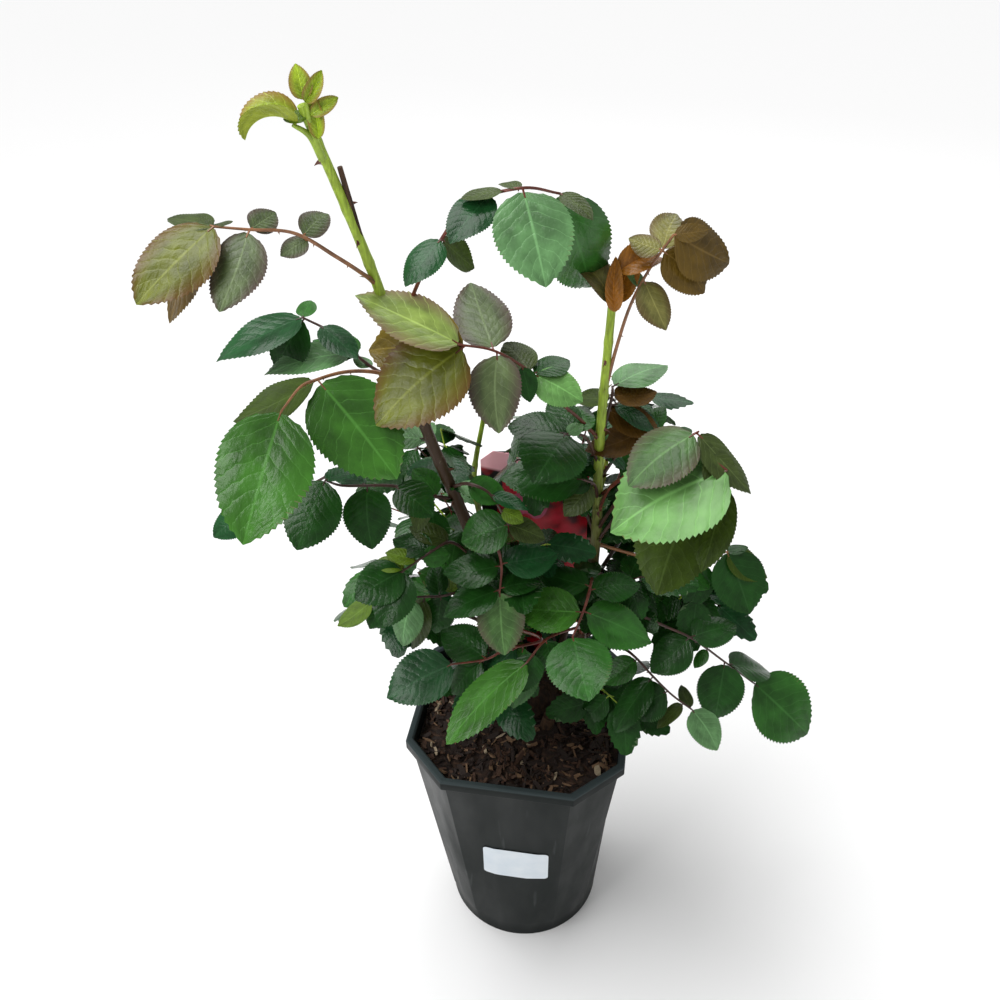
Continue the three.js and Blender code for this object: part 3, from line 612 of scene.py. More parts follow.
def cane_bark(name, greening):
    """Cane bark: old brown wood at the foot, green above, with fine lengthwise streaks and pale specks."""
    unsteadiness = 0.06
    streak_colour = (0.05, 0.03, 0.012)
    speck_colour = (0.3, 0.26, 0.15)
    stages = [(0.0, colour_of("old_wood")), (0.55, colour_of("green_wood")), (1.0, colour_of("lime_wood"))]
    material, tree, shader = new_material(name, colour_of("green_wood"), 0.45, 0.3)
    patches = noise(tree, place_on_piece(tree), 45.0, 4.0)
    unsteady = sum_of(tree, height_on_piece(tree), product(tree, patches, unsteadiness))
    low, high = (level * MM + unsteadiness / 2 for level in greening)
    grown = ramp(tree, share_between(tree, unsteady, low, high), stages)
    streak = noise(tree, place_on_piece(tree, (1.0, 1.0, 0.12)), 700.0, 5.0)
    streaked = mixed(tree, ramp(tree, streak, [(0.35, 0.0), (0.7, 0.5)]), grown, streak_colour)
    specks = noise(tree, place_on_piece(tree), 520.0, 2.0)
    paint(tree, shader, mixed(tree, ramp(tree, specks, [(0.68, 0.0), (0.74, 0.5)]), streaked, speck_colour))
    rough_up(tree, shader, streak, 0.5, 0.0006)
    return material


def old_bark(name, colour):
    """Cracked, dry old wood."""
    material, tree, shader = new_material(name, colour, 0.85)
    cracks = noise(tree, place_on_piece(tree, (1.0, 1.0, 0.3)), 260.0, 7.0)
    cracked = ramp(tree, cracks, [(0.35, 0.0), (0.65, 1.0)])
    paint(tree, shader, mixed(tree, cracked, shaded(colour, 0.3), colour))
    rough_up(tree, shader, cracks, 0.9, 0.0016)
    return material


def leaf_relief(tree):
    """A leaflet's height, how near a point is to a vein, its share outwards, and its leaf coordinates."""
    uv = add_node(tree, "ShaderNodeUVMap", uv_map=UV_MAP).outputs["UV"]
    parts = add_node(tree, "ShaderNodeSeparateXYZ", {"Vector": uv})
    centred = worked_out(tree, "SUBTRACT", parts.outputs["X"], 0.5)
    out = product(tree, worked_out(tree, "ABSOLUTE", centred), 2.0)
    crooked = product(tree, noise(tree, uv, 6.0, 2.0), 0.09)
    slanted = worked_out(tree, "SUBTRACT", parts.outputs["Y"], product(tree, out, VEIN_SLANT))
    phase = product(tree, sum_of(tree, slanted, crooked), math.pi * SIDE_VEINS)
    swell = worked_out(tree, "ABSOLUTE", worked_out(tree, "SINE", phase))
    side_vein = product(tree, share_between(tree, swell, 0.16, 0.0), 0.7)
    veins = worked_out(tree, "MAXIMUM", side_vein, share_between(tree, out, 0.05, 0.015))
    rounded = product(tree, worked_out(tree, "POWER", swell, 0.7), 0.5)
    return sum_of(tree, rounded, noise(tree, uv, 16.0, 3.0)), veins, out, uv


def leaf_upper(tint):
    """The glossy upper side of a tint's leaflets, quilted between sunk veins that are a little paler."""
    colour = colour_of(tint)
    specular, vein_strength, bump = (0.26, 0.35, 0.25) if tint in OLD_TINTS else (0.33, 0.6, 0.45)
    material, tree, shader = new_material("leaf_" + tint, colour, TINTS[tint].roughness, specular)
    height, veins, out, uv = leaf_relief(tree)
    patches = sum_of(tree, noise(tree, uv, 3.5, 3.0), noise(tree, place_on_piece(tree), 28.0, 2.0))
    patchy = ramp(tree, product(tree, patches, 0.5), [(0.38, 0.0), (0.62, 1.0)])
    body = mixed(tree, patchy, shaded(colour, 0.6), shaded(colour, 1.25))
    if tint in RIM_COLOURS:
        body = mixed(tree, ramp(tree, out, [(0.45, 0.0), (1.0, 0.85)]), body, RIM_COLOURS[tint])
    paint(tree, shader, mixed(tree, product(tree, veins, vein_strength), body, shaded(colour, 1.8, 0.02)))
    rough_up(tree, shader, height, bump, 0.001)
    return material


def leaf_under(tint):
    """The dull underside of a tint's leaflets, its veins raised and paler."""
    colour = colour_of(tint + "_under")
    material, tree, shader = new_material("leaf_" + tint + "_under", colour, 0.5, 0.25)
    height, veins, _, uv = leaf_relief(tree)
    patches = ramp(tree, noise(tree, uv, 4.0, 3.0), [(0.35, 0.0), (0.65, 1.0)])
    body = mixed(tree, patches, shaded(colour, 0.75), shaded(colour, 1.15))
    paint(tree, shader, mixed(tree, product(tree, veins, 0.6), body, shaded(colour, 1.6, 0.02)))
    rough_up(tree, shader, height, 0.5, -0.0008)
    return material


def plain_stalk(name, colour):
    """Smooth leaf stalk, twig or thorn."""
    material, tree, shader = new_material(name, colour, 0.4)
    patches = ramp(tree, noise(tree, place_on_piece(tree), 120.0, 3.0), [(0.4, 0.0), (0.65, 1.0)])
    paint(tree, shader, mixed(tree, patches, shaded(colour, 0.6), colour))
    return material


def printed_card():
    """Glossy card with a generic design: folded crimson and mauve on near black, below a pink edge."""
    maroon, crimson, scarlet = (0.05, 0.0008, 0.003), (0.34, 0.003, 0.012), (0.5, 0.01, 0.03)
    mauve, near_black, pink = (0.42, 0.06, 0.13), (0.008, 0.006, 0.006), (1.0, 0.5, 0.58)
    edge_from, edge_to = 0.507, 0.510
    material, tree, shader = new_material("tag_card", (0.5, 0.02, 0.06), 0.3, 0.2)
    folds = noise(tree, place_on_piece(tree, (1.0, 0.2, 1.0)), 60.0, 1.0)
    banded = ramp(tree, folds, [(0.35, maroon), (0.5, crimson), (0.68, scarlet)])
    blots = noise(tree, place_on_piece(tree, (1.0, 0.2, 0.6)), 30.0, 1.0)
    blotted = mixed(tree, ramp(tree, blots, [(0.58, 0.0), (0.60, 1.0)]), banded, mauve)
    design = mixed(tree, ramp(tree, blots, [(0.36, 1.0), (0.39, 0.0)]), blotted, near_black)
    edge = share_between(tree, height_on_piece(tree), edge_from, edge_to)
    paint(tree, shader, mixed(tree, edge, design, pink))
    return material


# ---------------------------------------------------------------------------- pieces

WELD = 0.00002


def finished(piece, slot, *nodes):
    """Rides a finished piece on the plant's body and hides the construction nodes that it stands for; its
    slot is not used.
    """
    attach(piece, BODY)
    if nodes:
        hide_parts(*nodes)
    return piece


def only(piece):
    """Makes a piece the one selected and active object."""
    bpy.ops.object.select_all(action="DESELECT")
    piece.select_set(True)
    bpy.context.view_layer.objects.active = piece


@contextmanager
def editing(piece, select="SELECT"):
    """Edit mode on a piece, with all of it selected, none of it, or what is selected already."""
    only(piece)
    bpy.ops.object.mode_set(mode="EDIT")
    if select:
        bpy.ops.mesh.select_all(action=select)
    yield
    bpy.ops.object.mode_set(mode="OBJECT")


def smoothed(piece, angle):
    """Shades a piece smooth, except over edges sharper than an angle in degrees."""
    only(piece)
    bpy.ops.object.shade_smooth_by_angle(angle=math.radians(angle))


def applied(piece, kind, **settings):
    """Adds a modifier and applies it."""
    only(piece)
    modifier = piece.modifiers.new(kind.lower(), kind)
    for name, value in settings.items():
        setattr(modifier, name, value)
    bpy.ops.object.modifier_apply(modifier=modifier.name)


def settled(piece):
    """Puts the piece's object at the origin, unturned and unscaled, with its place in its mesh."""
    only(piece)
    bpy.ops.object.transform_apply(location=True, rotation=True, scale=True)


def copy_of_node(node, name):
    """A welded copy of a construction solid to model on."""
    source = bpy.data.objects[node]
    piece = bpy.data.objects.new(name, source.data.copy())
    bpy.context.collection.objects.link(piece)
    piece.matrix_world = source.matrix_world.copy()
    piece.data.materials.clear()
    with editing(piece):
        bpy.ops.mesh.remove_doubles(threshold=WELD)
    settled(piece)
    return piece


def relief(piece, name, size, strength, mid_level=0.5, **settings):
    """Pushes a piece's surface in and out by procedural clouds."""
    texture = bpy.data.textures.new(name, "CLOUDS")
    texture.noise_scale = size
    applied(
        piece, "DISPLACE", texture=texture, texture_coords="LOCAL", strength=strength, mid_level=mid_level,
        **settings,
    )


class Bundle:
    """Many small shapes gathered into one joined mesh."""

    def __init__(self):
        self.points = []
        self.faces = []
        self.flat = []
        self.sides = []
        self.count = 0

    def add(self, points, faces, flat=None, sides=None):
        """Adds one shape: its points in mm, faces, leaf coordinates for each point and side of each face."""
        self.points.append(np.asarray(points))
        self.faces.extend([tuple(corner + self.count for corner in face) for face in faces])
        self.flat.append(np.zeros((len(points), 2)) if flat is None else flat)
        self.sides.extend([0] * len(faces) if sides is None else sides)
        self.count += len(points)

    def piece(self, name, materials, smooth_angle=60.0):
        """The gathered shapes as one object in metres."""
        mesh = bpy.data.meshes.new(name)
        mesh.from_pydata((np.concatenate(self.points) * MM).tolist(), [], self.faces)
        for material in materials:
            mesh.materials.append(material)
        mesh.polygons.foreach_set("material_index", self.sides)
        corners = np.empty(len(mesh.loops), dtype=np.int32)
        mesh.loops.foreach_get("vertex_index", corners)
        layer = mesh.uv_layers.new(name=UV_MAP)
        layer.data.foreach_set("uv", np.concatenate(self.flat)[corners].astype(np.float32).ravel())
        piece = bpy.data.objects.new(name, mesh)
        bpy.context.collection.objects.link(piece)
        smoothed(piece, smooth_angle)
        return piece


def walls_of_rings(rings, sides):
    """The four-sided faces between rings of points that follow one another."""
    walls = []
    for ring in range(rings - 1):
        for side in range(sides):
            here, there = ring * sides + side, ring * sides + (side + 1) % sides
            walls.append((here, there, there + sides, here + sides))
    return walls


def ends_of_rings(rings, sides):
    """The two faces that close the first and the last ring."""
    last = (rings - 1) * sides
    return [tuple(reversed(range(sides))), tuple(range(last, last + sides))]


# ---------------------------------------------------------------------------- lines of growth


def unit(vector):
    """The vector at length 1."""
    return vector / np.linalg.norm(vector)


def smooth_line(knots, count):
    """Points along a centripetal Catmull-Rom curve through the knots."""
    knots = np.array(knots, dtype=float)
    line = np.vstack([2 * knots[0] - knots[1], knots, 2 * knots[-1] - knots[-2]])
    points = []
    for share in np.linspace(0, len(knots) - 1, count + 1):
        first = min(int(share), len(knots) - 2)
        along = share - first
        p0, p1, p2, p3 = line[first : first + 4]
        d0, d1, d2 = (np.linalg.norm(b - a) ** 0.5 for a, b in ((p0, p1), (p1, p2), (p2, p3)))
        leaving = ((p1 - p0) / d0 - (p2 - p0) / (d0 + d1) + (p2 - p1) / d1) * d1
        arriving = ((p2 - p1) / d1 - (p3 - p1) / (d1 + d2) + (p3 - p2) / d2) * d1
        square = -3 * p1 + 3 * p2 - 2 * leaving - arriving
        cube = 2 * p1 - 2 * p2 + leaving + arriving
        points.append(p1 + leaving * along + square * along**2 + cube * along**3)
    return np.array(points)


CANE_STEPS = 200
CANE_LINES = {name: smooth_line(cane["knots"], CANE_STEPS) for name, cane in CANES.items()}


def on_cane(name, height):
    """The point of a cane's middle line at a height."""
    line = CANE_LINES[name]
    return line[np.argmin(np.abs(line[:, 2] - height))]


def turned_about(vector, axis, angle):
    """A vector turned about an axis."""
    return np.array(Matrix.Rotation(angle, 3, Vector(axis)) @ Vector(vector))


def about_stalk(tangent, roll):
    """The directions to the right of a stalk and over it, turned about it by an angle in degrees."""
    right = turned_about(unit(np.cross(tangent, UP)), tangent, -math.radians(roll))
    return right, np.cross(right, tangent)


def angles_round(sides):
    """Evenly spaced angles round a ring."""
    return 2 * np.pi * np.arange(sides) / sides


def tube(bundle, points, radii, sides=6):
    """A closed round tube along points."""
    points = np.asarray(points, dtype=float)
    steps = np.gradient(points, axis=0)
    upright = abs(unit(steps[0])[2]) >= 0.9
    across = np.cross(steps[0], np.array([1.0, 0.0, 0.0]) if upright else UP)
    angles = angles_round(sides)
    rings = []
    for point, step, radius in zip(points, steps, radii):
        across = unit(across - unit(step) * np.dot(across, unit(step)))
        over = np.cross(unit(step), across)
        rings.append(point + radius * (np.outer(np.cos(angles), across) + np.outer(np.sin(angles), over)))
    faces = walls_of_rings(len(rings), sides) + ends_of_rings(len(rings), sides)
    bundle.add(np.concatenate(rings), faces)


# How wide a thorn is at shares of its length, how far its point bends back, and how long and how narrow its
# foot is.
THORN_PROFILE = ((0.0, 1.0), (0.18, 0.6), (0.5, 0.33), (0.8, 0.16), (1.0, 0.02))
THORN_SIDES = 7
THORN_BEND = 0.35
THORN_FOOT_LONG = 1.5
THORN_FOOT_NARROW = 0.7


def thorn(bundle, base, outward, along, length, wide):
    """A curved prickle with a long oval foot, its point bent back down the stem."""
    angles = angles_round(THORN_SIDES)
    rings = []
    for share, width in THORN_PROFILE:
        middle = base + outward * length * share - along * length * THORN_BEND * share * share
        across = np.cross(outward, along)
        lengthwise = np.outer(np.cos(angles), along) * THORN_FOOT_LONG
        sideways = np.outer(np.sin(angles), across) * THORN_FOOT_NARROW
        rings.append(middle + (lengthwise + sideways) * wide * width)
    faces = walls_of_rings(len(rings), THORN_SIDES) + ends_of_rings(len(rings), THORN_SIDES)
    bundle.add(np.concatenate(rings), faces)


# ---------------------------------------------------------------------------- leaflets

# A leaflet that shows by itself and a dense one: its teeth along a side, the columns of faces across it, how
# far its teeth stand out, and the height of the quilting between its veins as a share of its length.
FINE_LEAFLET = (21, 8, 0.055, 0.0016)
DENSE_LEAFLET = (7, 4, 0.09, 0.0)
LEAFLET_WIDTH = 0.68
FOLD_RANGE = (0.02, 0.2)
CURL_RANGE = (8, 26)
DROOP_RANGE = (0.1, 0.5)
TWIST = 0.12
SWAY = 0.04
LEAFLET_THICKNESS = 0.007
OUTLINE_PEAK = 0.436
TOOTH_SLANT = 0.7
TIP_REACH = 1.03


@lru_cache
def leaflet_faces(rows, columns):
    """The faces of a leaflet and the side of each: 0 for the upper one, 1 for the underside."""
    stride = columns + 1
    offset = rows * stride
    top = 2 * offset

    def under(row, column):
        """The underside's point, which is the upper side's own on the edge."""
        return row * stride + column + (0 if column in (0, columns) else offset)

    faces, sides = [], []
    for row in range(rows - 1):
        for column in range(columns):
            here = row * stride + column
            faces.append((here, here + 1, here + stride + 1, here + stride))
            near = (under(row, column + 1), under(row, column))
            far = (under(row + 1, column), under(row + 1, column + 1))
            faces.append(near + far)
            sides.extend((0, 1))
    last = rows - 1
    for column in range(columns):
        here = last * stride + column
        faces.append((here, here + 1, top))
        faces.append((under(last, column + 1), under(last, column), top))
        butt = (under(0, column), under(0, column + 1), column + 1, column)
        faces.append(tuple(dict.fromkeys(butt)))
        sides.extend((0, 1, 1))
    return faces, sides


def leaflet(
    bundle, base, direction, normal, length, random, fine=True, width=LEAFLET_WIDTH, fold=None, curl=None
):
    """One serrated leaflet, thin and closed: a quilted upper side and an underside that share an edge."""
    teeth, columns, tooth_depth, quilting = FINE_LEAFLET if fine else DENSE_LEAFLET
    rows = 2 * teeth
    bend = math.radians(random.uniform(*CURL_RANGE) if curl is None else curl) + 0.001
    fold = random.uniform(*FOLD_RANGE) if fold is None else fold
    droop = random.uniform(*DROOP_RANGE)
    wave = random.uniform(0, 2 * np.pi, 4)
    twist = TWIST * random.uniform(-1, 1)
    sway = SWAY * random.uniform(-1, 1)
    v = np.linspace(0, 1, rows + 1)[:-1]
    toothed = np.arange(rows) % 2
    outline = width / 2 * np.clip(v, 0.004, 1) ** 0.5 * (1 - v) ** 0.72 / OUTLINE_PEAK
    across, along = np.meshgrid(np.linspace(-1, 1, columns + 1), v)
    out = np.abs(across)
    edge = out**5
    x = across * outline[:, None] * (1 + edge * (toothed[:, None] - 0.6) * tooth_depth)
    y = along + edge * toothed[:, None] * TOOTH_SLANT / rows
    z = fold * np.abs(x) - droop * x**2 / width
    veins = SIDE_VEINS * (along - VEIN_SLANT * out)
    z = z + quilting * np.abs(np.sin(np.pi * veins)) * np.sin(np.pi * out) * np.sin(np.pi * along)
    z = z + 0.018 * np.sin(5 * along + wave[0] + 1.5 * np.sign(across)) * out**2
    z = z + 0.008 * np.sin(11 * along + wave[1] + 2.2 * np.sign(across)) * out**3
    z = z + twist * x * y
    x = x + sway * np.sin(np.pi * y)
    y, z = np.sin(bend * y) * (1 / bend + z), np.cos(bend * y) * (1 / bend + z) - 1 / bend
    upper = np.stack([x, y, z], axis=-1)
    down = np.stack([np.zeros_like(y), -np.sin(bend * along), -np.cos(bend * along)], axis=-1)
    lower = upper + down * (LEAFLET_THICKNESS * (1 - out**4))[..., None]
    reach = TIP_REACH * bend
    tip = np.array([[0.0, math.sin(reach) / bend, (math.cos(reach) - 1) / bend]])
    points = np.concatenate([upper.reshape(-1, 3), lower.reshape(-1, 3), tip])
    flat = np.stack([0.5 + 0.5 * across, 0.02 + 0.96 * along], axis=-1).reshape(-1, 2)
    flat = np.concatenate([flat, flat, [[0.5, 0.99]]])
    turn = np.stack([np.cross(direction, normal), direction, normal])
    faces, sides = leaflet_faces(rows, columns)
    bundle.add(base + (points * length) @ turn, faces, flat, sides)


def pointing(azimuth, elevation):
    """The direction at an azimuth and an elevation in degrees."""
    flat, rise = math.radians(azimuth), math.radians(elevation)
    return np.array([math.cos(rise) * math.cos(flat), math.cos(rise) * math.sin(flat), math.sin(rise)])


def facing(direction, tilt):
    """The upper side's normal of a leaflet that is tilted from up to the front by an angle in degrees."""
    wanted = np.array([0.0, -math.sin(math.radians(tilt)), math.cos(math.radians(tilt))])
    return unit(wanted - np.dot(wanted, direction) * direction)


# Radii of a leaf's stalk at its foot and its tip, of a leaflet's own short stalk, and how much of a leaflet's
# length that short stalk takes at the leaf's tip and along its sides.
FINE_STALK = (1.6, 0.85)
DENSE_STALK = (1.1, 0.65)
SHORT_STALK = (0.85, 0.75, 0.5)
SHORT_STALK_AT_TIP = 0.02
SHORT_STALK_AT_SIDE = 0.05
STIPULE_LENGTH = 12.0
STIPULE_WIDTH = 0.26


def petiole(bundle, line, foot, tip, random):
    """A leaf's stalk along its line, with a swollen foot and a few small prickles on its underside."""
    swelling, swollen_share = 0.7, 0.04
    shares = np.linspace(0, 1, len(line))
    radii = foot + (tip - foot) * shares + foot * swelling * np.exp(-((shares / swollen_share) ** 2))
    tube(bundle, line, radii)
    for share in np.arange(0.15, 0.85, 0.2) + random.uniform(-0.05, 0.05):
        index = int(share * (len(line) - 1))
        tangent = unit(line[index + 1] - line[index - 1])
        _, over = about_stalk(tangent, random.uniform(-40, 40))
        thorn(bundle, line[index] - over * radii[index] * 0.6, -over, tangent, 1.4 + foot * 0.5, foot * 0.45)


def stipules(bundle, line, random):
    """The pair of narrow wings along the foot of a leaf's stalk."""
    tangent = unit(line[3] - line[0])
    right, over = about_stalk(tangent, 0)
    for hand in (-1, 1):
        direction = unit(tangent + right * hand * 0.4)
        leaflet(
            bundle, line[1], direction, over, STIPULE_LENGTH, random, fine=False, width=STIPULE_WIDTH,
            fold=0.5, curl=20,
        )


class Foliage:
    """All leaflets by tint and all leaf stalks by colour, ready to be joined."""

    def __init__(self):
        self.tints = {}
        self.stalks = {}

    def tint(self, name):
        """The bundle of one tint's leaflets."""
        return self.tints.setdefault(name, Bundle())

    def stalk(self, name):
        """The bundle of one colour's stalks."""
        return self.stalks.setdefault(name, Bundle())

    def grow_leaf(self, line, leaf, random, fine):
        """One compound leaf: its stalk along a line, its stipules, and leaflets on short stalks."""
        bundle = self.stalk(leaf["stalk"])
        foot, tip = FINE_STALK if fine else DENSE_STALK
        width_setting = bpy.context.scene.rose_sizes.leaflet_width
        petiole(bundle, line, foot, tip, random)
        stipules(self.tint(leaf["leaflets"][0][-1]), line, random)
        for share, azimuth, elevation, length, width, tilt, tint in leaf["leaflets"]:
            direction = pointing(azimuth, elevation)
            base = line[int(round(share * (len(line) - 1)))]
            clear = SHORT_STALK_AT_TIP if share == 1 else SHORT_STALK_AT_SIDE
            start = base + direction * length * clear
            inside = start + direction * length * 0.06
            tube(bundle, [base, (base + start) / 2, inside], SHORT_STALK, 5)
            blade = length * (1 - clear)
            leaflet(
                self.tint(tint), start, direction, facing(direction, tilt), blade, random, fine,
                width * width_setting,
            )


# ---------------------------------------------------------------------------- the pot

POT_WALL = 3.0
FLAT_ANGLE = math.radians(0.6)
EDGE_ANGLE = math.radians(24)
FOOT_CUTS = 3
LABEL_START = -120.0
LABEL_RIM = 1.2
LABEL_GAP = 0.6
LABEL_THICKNESS = 0.3
LABEL_COLUMNS = 12
LABEL_ROWS = 8


def octagon_radius(angle, half):
    """Distance from the axis to an octagon of the given half width across its long sides."""
    flat = min(half / max(abs(math.cos(angle)), 1e-9), half / max(abs(math.sin(angle)), 1e-9))
    slanted = half * (1 + POT_LONG_SIDE_SHARE) / (abs(math.cos(angle)) + abs(math.sin(angle)))
    return min(flat, slanted)


def inner_radius(angle):
    """Distance from the axis to the pot's inner wall at the compost, in one direction."""
    share = COMPOST_TOP / (POT_HEIGHT - POT_LIP_HEIGHT)
    octagon = octagon_radius(angle - POT_TURN, POT_HALF_FLATS - POT_LIP_OVERHANG)
    return POT_FOOT_RADIUS + (octagon - POT_FOOT_RADIUS) * share - POT_WALL


def choose_foot_wall(pot):
    """Selects the outer wall's faces below the height where the pot is round, and gives their points."""
    chosen = []
    for face in pot.data.polygons:
        away = face.center.x * face.normal.x + face.center.y * face.normal.y
        outside = away > 0.5 * math.hypot(face.center.x, face.center.y)
        face.select = outside and face.center.z < POT_ROUND_HEIGHT * MM
        if face.select:
            chosen.extend(face.vertices)
    return sorted(set(chosen))


def round_foot(pot):
    """Turns the pot's many-sided foot into a round one that runs out upwards."""
    for share in (0.5, 1.0):
        with editing(pot):
            bpy.ops.mesh.bisect(plane_co=(0, 0, share * POT_ROUND_HEIGHT * MM), plane_no=(0, 0, 1))
            bpy.ops.mesh.select_all(action="DESELECT")
    choose_foot_wall(pot)
    with editing(pot, select=None):
        bpy.ops.mesh.select_mode(type="FACE")
        bpy.ops.mesh.subdivide(number_cuts=FOOT_CUTS)
        bpy.ops.mesh.select_mode(type="VERT")
    foot = pot.vertex_groups.new(name="foot")
    for index in choose_foot_wall(pot):
        rise = pot.data.vertices[index].co.z / (POT_ROUND_HEIGHT * MM)
        foot.add([index], max(0.0, 1 - rise), "REPLACE")
    applied(
        pot, "CAST", cast_type="CYLINDER", use_radius_as_size=False, size=POT_FOOT_RADIUS * MM,
        factor=1.0, vertex_group="foot",
    )


def make_pot():
    """The moulded pot, its foot round and its edges rounded."""
    pot = copy_of_node("pot", "pot_shell")
    with editing(pot):
        bpy.ops.mesh.dissolve_limited(angle_limit=FLAT_ANGLE)
    round_foot(pot)
    edge = bpy.context.scene.rose_sizes.pot_edge
    applied(pot, "BEVEL", width=edge, segments=3, limit_method="ANGLE", angle_limit=EDGE_ANGLE)
    smoothed(pot, 30)
    pot.data.materials.append(moulded_plastic())
    finished(pot, "pot", "pot")


def cut_across(piece, normal, low, length, parts):
    """Cuts a piece into equal parts across a direction, from a lowest place over a length in mm."""
    for step in range(1, parts):
        with editing(piece):
            place = normal * (low + length * step / parts) * MM
            bpy.ops.mesh.bisect(plane_co=place, plane_no=normal)


def make_label():
    """The bare label, round-cornered, lying on the pot's wall."""
    bpy.ops.object.select_all(action="DESELECT")
    bpy.ops.mesh.primitive_plane_add(size=1.0, location=(0, 0, 0))
    label = bpy.context.object
    label.name = label.data.name = "label_bare"
    label.scale = (LABEL_WIDTH * MM, LABEL_HEIGHT * MM, 1.0)
    settled(label)
    with editing(label):
        bpy.ops.mesh.bevel(offset=LABEL_CORNER * MM, segments=5, affect="VERTICES")
        bpy.ops.mesh.inset(thickness=LABEL_RIM * MM)
    label.rotation_euler = (math.pi / 2, 0, 0)
    label.location = (LABEL_SIDE * MM, LABEL_START * MM, LABEL_MIDDLE * MM)
    settled(label)
    label.rotation_euler = (0, 0, POT_TURN)
    settled(label)
    sideways = Vector((math.cos(POT_TURN), math.sin(POT_TURN), 0))
    cut_across(label, sideways, LABEL_SIDE - LABEL_WIDTH / 2, LABEL_WIDTH, LABEL_COLUMNS)
    cut_across(label, Vector((0, 0, 1)), LABEL_MIDDLE - LABEL_HEIGHT / 2, LABEL_HEIGHT, LABEL_ROWS)
    applied(
        label, "SHRINKWRAP", target=bpy.data.objects["pot_shell"], wrap_method="PROJECT", use_project_y=True,
        use_positive_direction=True, use_negative_direction=True, offset=LABEL_GAP * MM,
    )
    applied(label, "SOLIDIFY", thickness=LABEL_THICKNESS * MM, offset=1.0)
    smoothed(label, 30)
    label.data.materials.append(label_film())
    finished(label, "label", "label")


# ---------------------------------------------------------------------------- the compost

COMPOST_CUTS = 7
COMPOST_SKIN = 4.0
COMPOST_CRUST = 2.5
CHIP_SHORTEST = 5
CHIP_LONGEST = 18
CHIP_SHARES = {"dark": 0.5, "brown": 0.33, "tan": 0.14, "pale": 0.03}
CHIP_RINGS = (-1.0, -0.35, 0.35, 1.0)


def chip(bundle, middle, random, long, wide, thick):
    """One sliver of bark: a bent, split-ended slab."""
    rings = []
    for share in CHIP_RINGS:
        taper = 1 - 0.35 * abs(share) * random.uniform(0.4, 1.4)
        corners = np.array([(-1, -1), (1, -1), (1, 1), (-1, 1)]) * (wide / 2 * taper, thick / 2 * taper)
        corners = corners + random.uniform(-0.18, 0.18, (4, 2)) * (wide, thick)
        lift = 0.15 * thick * share * share
        rings.append(np.column_stack([np.full(4, share * long / 2), corners[:, 0], corners[:, 1] + lift]))
    points = np.concatenate(rings)
    points[:, 0] += random.uniform(-0.08, 0.08, len(points)) * long
    turn = (
        Matrix.Rotation(random.uniform(0, 2 * math.pi), 3, "Z")
        @ Matrix.Rotation(random.normal(0, 0.35), 3, "Y")
        @ Matrix.Rotation(random.normal(0, 0.5), 3, "X")
    )
    faces = ends_of_rings(len(rings), 4) + walls_of_rings(len(rings), 4)
    bundle.add(points @ np.array(turn).T + middle, faces)


def make_compost():
    """The compost's crumbly surface."""
    bed = copy_of_node("compost", "compost_bed")
    with editing(bed, "DESELECT"):
        pass
    for polygon in bed.data.polygons:
        polygon.select = polygon.center.z > (COMPOST_TOP - COMPOST_SKIN) * MM and polygon.normal.z > 0.3
    with editing(bed, select=None):
        bpy.ops.mesh.subdivide(number_cuts=COMPOST_CUTS)
    top = bed.vertex_groups.new(name="top")
    high = [vertex.index for vertex in bed.data.vertices if vertex.co.z > (COMPOST_TOP - COMPOST_CRUST) * MM]
    top.add(high, 1.0, "REPLACE")
    relief(bed, "lumps", 0.012, 0.006, 0.8, direction="Z", vertex_group="top")
    relief(bed, "crumbs", 0.004, 0.003, 0.8, direction="Z", vertex_group="top")
    smoothed(bed, 70)
    bed.data.materials.append(bark_compost())
    finished(bed, "compost", "compost")


def make_chips():
    """Chips of bark of four colours, strewn over the compost."""
    random = np.random.default_rng(23)
    kinds = list(CHIP_SHARES)
    bundles = {kind: Bundle() for kind in kinds}
    for _ in range(bpy.context.scene.rose_sizes.chip_count):
        angle = random.uniform(0, 2 * math.pi)
        long = CHIP_SHORTEST + (CHIP_LONGEST - CHIP_SHORTEST) * random.beta(1.3, 2.6)
        radius = (inner_radius(angle) - long / 2) * math.sqrt(random.uniform(0, 1))
        height = COMPOST_TOP + random.uniform(-2.5, 2.0)
        place = np.array([radius * math.cos(angle), radius * math.sin(angle), height])
        kind = random.choice(kinds, p=list(CHIP_SHARES.values()))
        chip(bundles[kind], place, random, long, long * random.uniform(0.16, 0.45), random.uniform(0.8, 2.4))
    for kind, bundle in bundles.items():
        wood = chip_wood("chip_" + kind, colour_of("chip_" + kind))
        finished(bundle.piece("chips_" + kind, [wood], smooth_angle=25), "compost")


# ---------------------------------------------------------------------------- the wood

JOINT_SPACING = 46.0
JOINT_SWELLING = 0.45
JOINT_SPREAD = 3.2
THORN_LENGTH = 5.6
THORN_WIDTH = 2.1
THORNS_FROM = 28.0
THORNS_END = 20.0
THORN_SINK = 0.85
BARK_ALLOWANCE = 0.97


def distances_along(line):
    """How far each point of a line lies from its start."""
    return np.concatenate([[0], np.cumsum(np.linalg.norm(np.diff(line, axis=0), axis=1))])


def cane_radii(cane, distances, random):
    """The cane's radius at each point: tapering, with a swollen joint at each leaf's old place."""
    shares = distances / distances[-1]
    radii = cane["foot"] + (cane["tip"] - cane["foot"]) * shares**0.8
    joints = np.arange(45, distances[-1] - 15, JOINT_SPACING)
    for joint in joints + random.uniform(-6, 6, len(joints)):
        radii = radii + JOINT_SWELLING * np.exp(-(((distances - joint) / JOINT_SPREAD) ** 2))
    return radii


